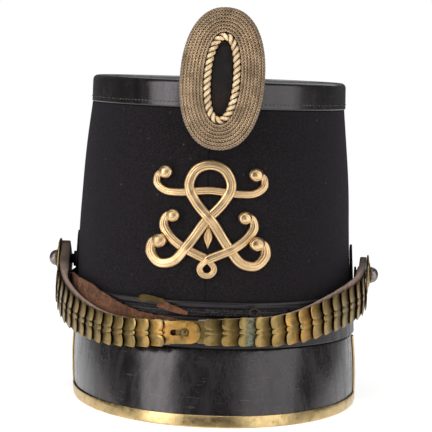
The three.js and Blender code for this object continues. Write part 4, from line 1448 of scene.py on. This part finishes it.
# ---- Lining, tongue and loop ----

# The lining, its torn tongue and the clip on that: bearing in degrees, upper and lower lines in mm.
LINING_ROWS = [
    {"bearing": -84, "upper": 73.5, "lower": 60, "stand": 4.7},
    {"bearing": -76, "upper": 77, "lower": 57, "stand": 3.6},
    {"bearing": -66, "upper": 76.8, "lower": 54, "stand": 3.5},
    {"bearing": -55, "upper": 75.2, "lower": 53, "stand": 3.2},
    {"bearing": -44, "upper": 70.4, "lower": 52, "stand": 2.7},
    {"bearing": -33, "upper": 65.4, "lower": 51.5, "stand": 2.7},
    {"bearing": -24, "upper": 62.8, "lower": 51.5, "stand": 2.7},
    {"bearing": -11, "upper": 61.2, "lower": 52, "stand": 2.7},
]
TONGUE_ROWS = [
    {"bearing": -25, "upper": 74.4, "lower": 69.8},
    {"bearing": -17, "upper": 71.0, "lower": 66.2},
    {"bearing": -12, "upper": 68.2, "lower": 64.4},
    {"bearing": -8, "upper": 66.2, "lower": 63.6},
]
CLIP_ROWS = [
    {"bearing": -27, "upper": 72.6, "lower": 69.9},
    {"bearing": -25.5, "upper": 73.8, "lower": 69.3},
    {"bearing": -22, "upper": 73.5, "lower": 70.1},
    {"bearing": -17.5, "upper": 72.4, "lower": 69.8},
    {"bearing": -16.5, "upper": 71.6, "lower": 70.4},
]


def wall_strip(rows, first, last, count, inner_of, thickness, ragged, seed):
    """A thin strip on the hat's wall between an upper and a lower line. inner_of(row) is its back's stand."""
    shares = [0.0, 0.03, 0.1, 0.2, 0.3, 0.4, 0.5, 0.6, 0.7, 0.8, 0.9, 0.97, 1.0]
    section = [(share, 1.0) for share in shares] + [(share, 0.0) for share in reversed(shares)]

    def place(bearing, corner):
        share, out = corner
        row = row_at(rows, "bearing", bearing)
        tear = wobble(Vector((bearing, 0, 0)), 2.2, ragged, seed)
        tear += wobble(Vector((bearing, 3, 0)), 0.7, ragged / 3, seed)
        upper = row["upper"] * MM + tear
        lower = row["lower"] * MM
        height = lower + (upper - lower) * share
        point = on_wall(BODY, RIM, bearing, inner_of(row) + out * thickness)
        point.z = height
        push = wobble(point, 9 * MM, 0.3 * MM, seed + 5)
        return point + push * wall_normal(BODY, RIM, bearing)

    return swept(steps(first, last, count), section, place, span=(0.11, 0.05))


class SHAKO_OT_lining(bpy.types.Operator):
    """Make the loose suede lining, its torn tongue and the small loop"""

    bl_idname = "shako.lining"
    bl_label = "Loose Lining"

    def execute(self, context):
        material = kept("suede_lining", suede_finish)
        lining = wall_strip(
            LINING_ROWS, -84, -11, 120, lambda row: (row["stand"] - 0.45) * MM, 0.9 * MM, 0.5 * MM, 2.0
        )
        hung = made(lining, "loose_lining", material, "suede", ["strap_lining"], sharp=60)
        tongue = wall_strip(TONGUE_ROWS, -19.5, -7.6, 40, lambda row: 2.3 * MM, 0.7 * MM, 0.5 * MM, 8.0)
        made(tongue, "torn_tongue", material, "suede", ["lining_tongue"], sharp=60)
        clip = wall_strip(CLIP_ROWS, -27, -16.5, 48, lambda row: 2.9 * MM, 0.5 * MM, 0.25 * MM, 3.0)
        paint(clip, "soot", lambda v: 0.85)
        made(clip, "tongue_clip", kept("chin_scale_brass", scale_finish), "scale_brass", sharp=50)
        low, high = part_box("band_loop")
        middle = (low + high) / 2
        loop = bmesh.new()
        bmesh.ops.create_circle(loop, segments=10, radius=0.55 * MM)
        bmesh.ops.rotate(loop, verts=loop.verts, cent=(0, 0, 0), matrix=Matrix.Rotation(math.pi / 2, 3, "X"))
        bmesh.ops.translate(loop, verts=loop.verts, vec=(2.6 * MM, 0, 0))
        ring = loop.verts[:] + loop.edges[:]
        bmesh.ops.spin(
            loop, geom=ring, cent=(0, 0, 0), axis=(0, 0, 1), angle=math.tau, steps=28, use_merge=True
        )
        bmesh.ops.remove_doubles(loop, verts=loop.verts, dist=1e-7)
        bmesh.ops.recalc_face_normals(loop, faces=loop.faces)
        turn = Matrix.Rotation(math.radians(17), 4, "Z") @ Matrix.Rotation(math.pi / 2, 4, "X")
        shape = Matrix.Diagonal((1.1, 0.8, 1, 1))
        bmesh.ops.transform(loop, matrix=Matrix.Translation(middle) @ turn @ shape, verts=loop.verts)
        made(loop, "band_ring", kept("worn_leather", leather_finish), "scale_brass", ["band_loop"])
        return {"FINISHED"}


# ---- Badge ----

# The badge's size, its lean back and roll to one side in degrees, and where its back's middle is, in mm.
BADGE = {"height": 84, "width": 50, "lean": 3.8, "roll": 2.3, "back": 96.4, "x": 3.2, "z": 202.5}
# From the back, round the rim and up the front to the cord: (shrink from the outline, depth) in millimetres.
BADGE_FACE = [
    {"shrink": 0, "depth": 4.0},
    {"shrink": 2.5, "depth": 5.6},
    {"shrink": 7, "depth": 7.4},
    {"shrink": 13, "depth": 8.7},
]
# The cord's oval and thickness, and its two strands: their radius, how far each is from the cord's middle,
# and the length of a full turn.
CORD = {
    "height": 49.5, "width": 17.5, "radius": 2.6, "depth": 7.0,
    "strand": 1.2, "apart": 1.36, "pitch": 7.6,
}
# How squared the badge's ovals are; 2 is an ellipse.
OVAL_POWER = 2.25


def badge_place():
    return (
        Matrix.Translation((BADGE["x"] * MM, -BADGE["back"] * MM, BADGE["z"] * MM))
        @ Matrix.Rotation(-math.radians(BADGE["lean"]), 4, "X")
        @ Matrix.Rotation(math.radians(BADGE["roll"]), 4, "Y")
    )


def oval(height, width, depth, angle):
    """A point of an upright, slightly squared oval in front of the badge's back; mm, angle from the top."""
    across, up = (
        math.copysign(abs(value) ** (2 / OVAL_POWER), value) for value in (math.sin(angle), math.cos(angle))
    )
    return Vector((width / 2 * across, -depth, height / 2 * up)) * MM


def oval_frames(height, width, depth, spacing):
    """Points evenly along an oval, each with its direction and its distance."""
    count = 720
    points = [oval(height, width, depth, math.tau * k / count) for k in range(count + 1)]
    marks = [0.0]
    for a, b in zip(points, points[1:]):
        marks.append(marks[-1] + (b - a).length)
    total = marks[-1]
    stations, k = [], 0
    number = max(round(total / spacing), 24)
    for i in range(number):
        distance = total * i / number
        while marks[k + 1] < distance:
            k += 1
        share = (distance - marks[k]) / (marks[k + 1] - marks[k])
        along = (points[k + 1] - points[k]).normalized()
        stations.append((points[k].lerp(points[k + 1], share), along, distance))
    return stations, total


def twisted(height, width, depth, radius, twist, spacing, lobes=2, swell=0.28, sides=6):
    """A twisted wire laid along an oval. twist is the number of full turns for each millimetre."""
    stations, total = oval_frames(height, width, depth, spacing)
    turns = round(total / MM * twist)
    section = [math.tau * k / sides for k in range(sides)]

    def place(station, angle):
        point, along, distance = station
        out = Vector((0, -1, 0))
        side = along.cross(out)
        phase = math.tau * turns * distance / total
        thick = radius * (1 - swell / 2 + swell * (0.5 + 0.5 * math.cos(lobes * angle - phase))) * MM
        return point + out * thick * math.cos(angle) + side * thick * math.sin(angle)

    # Painted shade: darker on the side turned away from the front and in the valleys between the twists.
    def soot(station, angle):
        phase = math.tau * turns * station[2] / total
        valley = 0.5 - 0.5 * math.cos(lobes * angle - phase)
        return min(max(0.7 - math.cos(angle), 0) + 1.1 * valley**1.5, 1)

    return swept(stations, section, place, closed=True, span=(total, math.tau * radius * MM), soot=soot)


def badge_core():
    """The shaped board under the braid, with the pocket for the cord."""
    rings = [(3, 0.0), (0.6, 0.6), (0.4, 1.4)]
    rings += [(row["shrink"] + 0.6, row["depth"] - 0.7) for row in BADGE_FACE]
    last_height = CORD["height"] + 2 * CORD["radius"] + 1.5
    last_width = CORD["width"] + 2 * CORD["radius"] + 1.5

    def place(i, j):
        angle = math.tau * i / 96
        if j < len(rings):
            shrink, depth = rings[j]
            return oval(BADGE["height"] - shrink, BADGE["width"] - shrink, depth, angle)
        return oval(last_height, last_width, 8.3 if j == len(rings) else 4.2, angle)

    bm = wrapped_grid(96, len(rings) + 1, place, (0.2, 0.03))
    weld(bm)
    return bm


def braid_mesh(sizes):
    """Rings of flat braid: each is two twisted wires of opposite hand, with a groove to the next ring."""
    outer = (BADGE["height"] - 1.2, BADGE["width"] - 1.2)
    inner = (CORD["height"] + 2 * CORD["radius"] - 0.9, CORD["width"] + 2 * CORD["radius"] - 0.9)
    wire = sizes.rope / MM
    rings = round((outer[1] - inner[1]) / 2 / (2.05 * wire))
    parts = []
    for k in range(rings):
        for share, hand in ((0.22, 1), (0.6, -1)):
            reach = (k + share) / rings
            height = outer[0] + (inner[0] - outer[0]) * reach
            width = outer[1] + (inner[1] - outer[1]) * reach
            depth = row_at(BADGE_FACE, "shrink", min(BADGE["height"] - height, 13))["depth"]
            depth += 0.08 if hand < 0 else -0.4
            parts.append(twisted(height, width, depth, wire * 0.54, hand / 1.7, 0.3 * MM, swell=0.6))
    for depth, hand in ((1.1, 1), (2.0, -1), (2.9, 1), (3.8, -1)):
        rim = twisted(BADGE["height"] - 0.9, BADGE["width"] - 0.9, depth, wire * 0.5, hand / 2.2, 0.4 * MM)
        paint(rim, "rim", lambda v: 1.0)
        parts.append(rim)
    paint(parts[0], "rim", lambda v: 0.5)
    return joined(parts)


def cord_mesh():
    """The thick two-strand cord round the slot, each strand grooved like bundled wire."""
    frames, total = oval_frames(CORD["height"], CORD["width"], CORD["depth"], 0.42 * MM)
    turns = round(total / (CORD["pitch"] * MM))
    sides = 16
    parts = []
    for strand in (0.0, math.pi):

        def centre(index):
            point, along, distance = frames[index % len(frames)]
            out = Vector((0, -1, 0))
            side = along.cross(out)
            phase = math.tau * turns * distance / total + strand
            return point + (out * math.cos(phase) + side * math.sin(phase)) * CORD["apart"] * MM

        def place(index, angle):
            here = centre(index)
            forward = (centre(index + 1) - centre(index - 1)).normalized()
            reach = (here - frames[index % len(frames)][0]).normalized()
            side = forward.cross(reach)
            groove = 1 - 0.14 * (0.5 + 0.5 * math.cos(6 * angle))
            radius = CORD["strand"] * MM * groove
            return here + reach * radius * math.cos(angle) + side * radius * math.sin(angle)

        # Painted shade: darker on the side of each strand that faces the other strand.
        def soot(index, angle):
            return min(max(0.35 - math.cos(angle), 0), 1)

        section = [math.tau * k / sides for k in range(sides)]
        run = list(range(len(frames)))
        parts.append(swept(run, section, place, closed=True, span=(total, 0.009), soot=soot))
    return joined(parts)


def velvet_mesh():
    """The padded velvet centre, domed and a little uneven."""
    height = CORD["height"] - 2 * CORD["radius"] - 1.2
    width = CORD["width"] - 2 * CORD["radius"] - 1.2
    rings = [(0.0, 4.4), (0.0, 5.6), (0.6, 6.3), (2.2, 6.8), (4.6, 7.05), (7.0, 7.1), (9.2, 7.1)]

    def place(i, j):
        angle = math.tau * i / 64
        shrink, depth = rings[j]
        share = max(1 - shrink / width, 0.02)
        point = oval(height * share, width * share, depth, angle)
        point.y -= wobble(point, 5 * MM, 0.35 * MM, 6.0) if j > 1 else 0
        return point

    bm = wrapped_grid(64, len(rings) - 1, place, (0.1, 0.01))
    weld(bm)
    return bm


class SHAKO_OT_badge(bpy.types.Operator):
    """Make the oval badge of wire braid, its cord and its velvet centre"""

    bl_idname = "shako.badge"
    bl_label = "Badge"

    def execute(self, context):
        braid = kept("wire_braid", braid_finish)
        core = badge_core()
        pieces = [
            (core, "badge_board", kept("badge_board", board_finish), "metal_braid", ["badge_body"]),
            (braid_mesh(context.scene.shako_sizes), "badge_braid", braid, "metal_braid", []),
            (cord_mesh(), "slot_cord", kept("cord_wire", cord_finish), "metal_braid", ["badge_cord"]),
            (velvet_mesh(), "velvet_centre", kept("black_velvet", velvet_finish), "velvet", ["badge_centre"]),
        ]
        for bm, name, material, slot, nodes in pieces:
            bmesh.ops.transform(bm, matrix=badge_place(), verts=bm.verts)
            piece = made(bm, name, material, slot, nodes, sharp=70)
        dress(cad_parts["badge_post"], kept("grey_button_metal", button_finish))
        return {"FINISHED"}


def board_finish(colours, name):
    f = Finish(name)
    where = f.place()
    tone = f.blend(f.between(f.noise(where, 400, 3), 0.3, 0.7), (0.02, 0.012, 0.008), (0.055, 0.034, 0.022))
    f.bump(f.noise(where, 900, 3, 0.7), 0.0002, 0.6)
    return f.done(tone, 0.85)


def cord_finish(colours, name):
    f = Finish(name, Metallic=0.5)
    where = f.place()
    dull = f.between(f.noise(where, 150, 4, 0.7), 0.35, 0.68)
    tone = f.blend(dull, darker(colours.braid, 1.75), darker(colours.braid, 0.9))
    wires = f.place("UV", (1, 1, 1), (0, 0, math.radians(64)))
    lines = f.node("ShaderNodeTexWave", {"wave_profile": "SIN"}, Vector=wires, Scale=700, Distortion=0.6)
    tone = f.blend(f.between(lines.outputs["Fac"], 0.0, 0.4, 0.5, 0.0), tone, darker(colours.braid, 0.3))
    # Painted shade between the cord's two strands.
    soot = f.attribute("soot")
    tone = f.blend(f.maths("MULTIPLY", soot, 0.9), tone, (0.04, 0.022, 0.012))
    f.bump(lines.outputs["Fac"], 0.00018, 0.8)
    f.bump(f.noise(where, 1800, 3, 0.7), 0.0001, 0.5)
    return f.done(tone, f.between(dull, 0, 1, 0.34, 0.52))


# ---- Front ornament ----

# The middle of the ornament, how far it is to one side, and how far off the cloth, in mm.
ORNAMENT = {"z": 119.8, "lean": -1.6, "stand": 0.5}
# The right half of the scrollwork: each strand's ball radius and half width, and its points sideways and up
# from the middle, in millimetres.
STRANDS = [
    {
        "ball": 4.2,
        "half": 3.1,
        "run": [
            (27.6, -13.6), (32.4, -14.2), (33.6, -20.4), (28.4, -26.6), (20.0, -25.4), (11.6, -15.6),
            (2.2, -1.6), (-8.4, 10.6), (-12.2, 20.4), (-8.2, 29.0), (0, 32.0),
        ],
    },
    {
        "ball": 3.9,
        "half": 2.4,
        "run": [(25.6, 27.0), (30.4, 25.6), (31.2, 20.2), (26.4, 16.0), (18.0, 15.2), (9.0, 16.2), (0, 17.0)],
    },
    {
        "ball": 3.8,
        "half": 2.85,
        "run": [
            (20.4, 1.6), (24.6, 1.4), (26.4, -4.0), (22.6, -10.6), (14.4, -17.0), (6.4, -20.8),
            (-0.6, -24.2), (-4.2, -28.8), (-2.6, -32.2), (0, -33.0),
        ],
    },
]


def on_front(across, up, out):
    """A point in front of the cloth, under a sideways and upward place of the ornament."""
    height = ORNAMENT["z"] * MM + up
    row = row_at(BODY, "height", height)
    x = ORNAMENT["lean"] * MM + across
    bearing = math.degrees(math.asin((x - row["lean"]) / row["half_width"]))
    return on_wall(BODY, height, bearing) + wall_normal(BODY, height, bearing) * out


def strand_routes():
    """Each strand with its mirror image, as one line from ball to ball."""
    routes = []
    for strand in STRANDS:
        right = [Vector((x * MM, z * MM, 0)) for x, z in strand["run"]]
        left = [Vector((-point.x, point.y, 0)) for point in reversed(right[:-1])]
        routes.append((Route([*right, *left], 12), strand["ball"] * MM, strand["half"] * MM))
    return routes


def crossings(routes):
    """Where strands cross, as (strand, distance) pairs for the strand that goes over."""
    samples = []
    for number, (route, *_) in enumerate(routes):
        for distance in steps(0, route.length, round(route.length / (0.8 * MM))):
            samples.append((number, distance, route.at(distance)[0]))
    over, met = [], []
    for i, (a, at_a, here) in enumerate(samples):
        for b, at_b, there in samples[i + 1 :]:
            if (here - there).length > 0.75 * MM or (a == b and abs(at_a - at_b) < 14 * MM):
                continue
            if any((here - place).length < 5 * MM for place in met):
                continue
            met.append(here.copy())
            lifted = (a, at_a) if (len(met) + (here.x > 0)) % 2 else (b, at_b)
            over.append(lifted)
    return over


def strand_section():
    """The strand's face from one side to the other, with two fine grooves, and its flat back."""
    face = []
    for side in steps(-1, 1, 20):
        rise = math.sqrt(max(1 - side**2, 0)) ** 0.75
        groove = sum(math.exp(-(((side - place) / 0.1) ** 2)) for place in (-0.3, 0.3))
        # Its third value darkens the gilt: in the two grooves, and as painted shade towards both edges.
        face.append((side, rise - 0.1 * groove, max(0.55 * groove, abs(side) ** 8)))
    return [*face, (0.9, -0.12, 0.0), (0.0, -0.16, 0.0), (-0.9, -0.12, 0.0)]


def strand_mesh(sizes, route, half, lifts):
    count = round(route.length / (0.75 * MM))
    stations = steps(0, route.length, count)
    section = strand_section()

    def place(distance, corner):
        side, rise, _ = corner
        point, along = route.at(distance)
        from_end = min(distance, route.length - distance) / MM
        width = half * min(1, 0.72 + from_end / 40)
        middle = abs(point.x) / MM
        width *= 0.72 if point.y < -24 * MM and middle < 7 else 1.0
        lift = sum(1.3 * MM * math.exp(-(((distance - at) / (4.6 * MM)) ** 2)) for at in lifts)
        across = point.x - along.y * side * width
        up = point.y + along.x * side * width
        return on_front(across, up, ORNAMENT["stand"] * MM + lift + rise * sizes.relief)

    span = (route.length, 0.01)
    return swept(stations, section, place, span=span, groove=lambda distance, corner: min(corner[2], 1))


def ball_mesh(centre, radius, hand):
    """A volute's ball, flattened at the back, with a spiral groove towards its tip."""
    bm = bmesh.new()
    bmesh.ops.create_uvsphere(bm, u_segments=28, v_segments=16, radius=1)
    groove_layer = bm.verts.layers.float.new("groove")
    for vertex in bm.verts:
        polar = math.acos(max(-1, min(1, vertex.co.z)))
        around = math.atan2(vertex.co.y, vertex.co.x) * hand
        spiral = (polar / 0.62 - around / math.tau) % 1.0
        dip = math.exp(-(((spiral - 0.5) / 0.13) ** 2)) if vertex.co.z > -0.1 and polar > 0.2 else 0
        vertex[groove_layer] = dip
        flat = vertex.co * (1 - 0.1 * dip)
        vertex.co = on_front(
            centre.x + flat.x * radius,
            centre.y + flat.y * radius,
            ORNAMENT["stand"] * MM + radius * 0.78 + flat.z * radius * 0.78,
        )
    return bm


# The bud that hangs from the great scroll's crossing: height from the middle and half width, in mm.
BUD = [
    (-2.0, 0.8), (-4.0, 0.7), (-6.0, 1.3), (-8.5, 2.4), (-10.5, 2.75), (-12.5, 2.4), (-15.0, 1.1),
    (-17.0, 0.15),
]


def bud_mesh(sizes):
    """A pointed bud with a rib down its middle and a groove on each side of the rib."""
    sides = steps(-1, 1, 12)

    def place(i, j):
        up, half = BUD[i]
        side = sides[j]
        rise = 0.95 * math.sqrt(max(1 - side**2, 0)) - 0.3 * math.exp(-(((abs(side) - 0.32) / 0.16) ** 2))
        out = ORNAMENT["stand"] * MM + max(rise, 0) * sizes.relief * half / 2.75
        return on_front(side * half * MM, up * MM, out)

    bm = wrapped_grid(len(BUD) - 1, len(sides) - 1, place, (0.015, 0.01))
    weld(bm)
    paint(bm, "groove", lambda v: 0.25)
    return bm


class SHAKO_OT_ornament(bpy.types.Operator):
    """Make the gilt scrollwork on the front"""

    bl_idname = "shako.ornament"
    bl_label = "Front Ornament"

    def execute(self, context):
        sizes = context.scene.shako_sizes
        routes = strand_routes()
        over = crossings(routes)
        parts = [bud_mesh(sizes)]
        for number, (route, ball, half) in enumerate(routes):
            lifts = [distance for strand, distance in over if strand == number]
            parts.append(strand_mesh(sizes, route, half, lifts))
            for end, hand in ((0, 1), (route.length, -1)):
                parts.append(ball_mesh(route.at(end)[0], ball, hand))
        made(joined(parts), "scrollwork", kept("gilded_brass", gilt_finish), "gilt", ["emblem"], sharp=55)
        return {"FINISHED"}


# ---- Stage ----

FLOOR_RADIUS = 1.1
CAMERA = {"distance": 1.3, "height": 0.219, "azimuth": 2.0, "roll": 2.1, "lens": 170.1, "aim": 0.11}
CAMERA_SHIFT = (-0.0035, 0.0138)
# Each light's name, azimuth and elevation seen from the hat, distance, width and height, and power. All are
# aimed at a point above the floor.
LIGHTS_AIM = 0.12
LIGHTS = [
    {
        "name": "left_softbox", "azimuth": -51, "elevation": 20, "distance": 1.4,
        "size": (0.7, 1.5), "power": 11.5,
    },
    {
        "name": "right_softbox", "azimuth": 62, "elevation": 18, "distance": 1.6,
        "size": (1.4, 1.5), "power": 11,
    },
    {
        "name": "top_softbox", "azimuth": 0, "elevation": 70, "distance": 1.4,
        "size": (1.2, 0.9), "power": 5,
    },
    {
        "name": "back_softbox", "azimuth": 170, "elevation": 40, "distance": 1.8,
        "size": (1.4, 1.2), "power": 5,
    },
]


def aimed(location, target):
    return (target - location).to_track_quat("-Z", "Y")


def make_camera():
    data = bpy.data.cameras.new("camera")
    data.lens = CAMERA["lens"]
    data.sensor_width = 36
    data.clip_end = 50
    camera = bpy.data.objects.new("camera", data)
    azimuth = math.radians(CAMERA["azimuth"])
    location = Vector((
        CAMERA["distance"] * math.sin(azimuth),
        -CAMERA["distance"] * math.cos(azimuth),
        CAMERA["height"],
    ))
    camera.location = location
    turn = aimed(location, Vector((0, 0, CAMERA["aim"]))).to_matrix().to_4x4()
    turn = turn @ Matrix.Rotation(math.radians(CAMERA["roll"]), 4, "Z")
    camera.rotation_euler = turn.to_euler()
    data.shift_x, data.shift_y = CAMERA_SHIFT
    bpy.context.scene.collection.objects.link(camera)
    bpy.context.scene.camera = camera


def make_lights():
    centre = Vector((0, 0, LIGHTS_AIM))
    for row in LIGHTS:
        data = bpy.data.lights.new(row["name"], "AREA")
        data.shape = "RECTANGLE"
        data.size, data.size_y = row["size"]
        data.energy = row["power"]
        azimuth, elevation = math.radians(row["azimuth"]), math.radians(row["elevation"])
        away = Vector((
            math.sin(azimuth) * math.cos(elevation),
            -math.cos(azimuth) * math.cos(elevation),
            math.sin(elevation),
        ))
        lamp = bpy.data.objects.new(row["name"], data)
        lamp.location = centre + away * row["distance"]
        lamp.rotation_euler = aimed(lamp.location, centre).to_euler()
        lamp.visible_camera = False
        bpy.context.scene.collection.objects.link(lamp)


def make_world():
    """White where the camera sees it, and a dim even light on the hat."""
    world = bpy.data.worlds.new("studio")
    world.use_nodes = True
    nodes, links = world.node_tree.nodes, world.node_tree.links
    dim = nodes["Background"]
    dim.inputs["Color"].default_value = (1, 1, 1, 1)
    dim.inputs["Strength"].default_value = 0.1
    bright = nodes.new("ShaderNodeBackground")
    bright.inputs["Color"].default_value = (1, 1, 1, 1)
    bright.inputs["Strength"].default_value = 1.0
    rays = nodes.new("ShaderNodeLightPath")
    mix = nodes.new("ShaderNodeMixShader")
    links.new(rays.outputs["Is Camera Ray"], mix.inputs[0])
    links.new(dim.outputs[0], mix.inputs[1])
    links.new(bright.outputs[0], mix.inputs[2])
    links.new(mix.outputs[0], nodes["World Output"].inputs["Surface"])
    bpy.context.scene.world = world


class SHAKO_OT_stage(bpy.types.Operator):
    """Make the floor, the lights and the camera"""

    bl_idname = "shako.stage"
    bl_label = "Stage"

    def execute(self, context):
        bm = bmesh.new()
        bmesh.ops.create_circle(bm, cap_ends=True, segments=96, radius=FLOOR_RADIUS)
        mesh = bpy.data.meshes.new("floor")
        bm.to_mesh(mesh)
        bm.free()
        mesh.materials.append(kept("pale_floor", floor_finish))
        floor = bpy.data.objects.new("floor", mesh)
        context.scene.collection.objects.link(floor)
        make_lights()
        make_world()
        make_camera()
        context.scene.view_settings.view_transform = "Standard"
        return {"FINISHED"}


# ---- Add-on ----

OPERATORS = [
    SHAKO_OT_stage,
    SHAKO_OT_body,
    SHAKO_OT_lid,
    SHAKO_OT_band,
    SHAKO_OT_peaks,
    SHAKO_OT_side_fittings,
    SHAKO_OT_strap,
    SHAKO_OT_scales,
    SHAKO_OT_fastening,
    SHAKO_OT_lining,
    SHAKO_OT_badge,
    SHAKO_OT_ornament,
]


class SHAKO_PT_pieces(bpy.types.Panel):
    """Lists the pieces of the shako"""

    bl_idname = "SHAKO_PT_pieces"
    bl_label = "Shako"
    bl_space_type = "VIEW_3D"
    bl_region_type = "UI"
    bl_category = "Shako"

    def draw(self, context):
        for operator in OPERATORS:
            self.layout.operator(operator.bl_idname)


CLASSES = [ShakoSizes, ShakoColours, *OPERATORS, SHAKO_PT_pieces]


def register():
    for cls in CLASSES:
        bpy.utils.register_class(cls)
    bpy.types.Scene.shako_sizes = bpy.props.PointerProperty(type=ShakoSizes)
    bpy.types.Scene.shako_colours = bpy.props.PointerProperty(type=ShakoColours)


def unregister():
    del bpy.types.Scene.shako_colours
    del bpy.types.Scene.shako_sizes
    for cls in reversed(CLASSES):
        bpy.utils.unregister_class(cls)


def main():
    register()
    for operator in OPERATORS:
        group, name = operator.bl_idname.split(".")
        getattr(getattr(bpy.ops, group), name)()


if __name__ == "__main__":
    main()
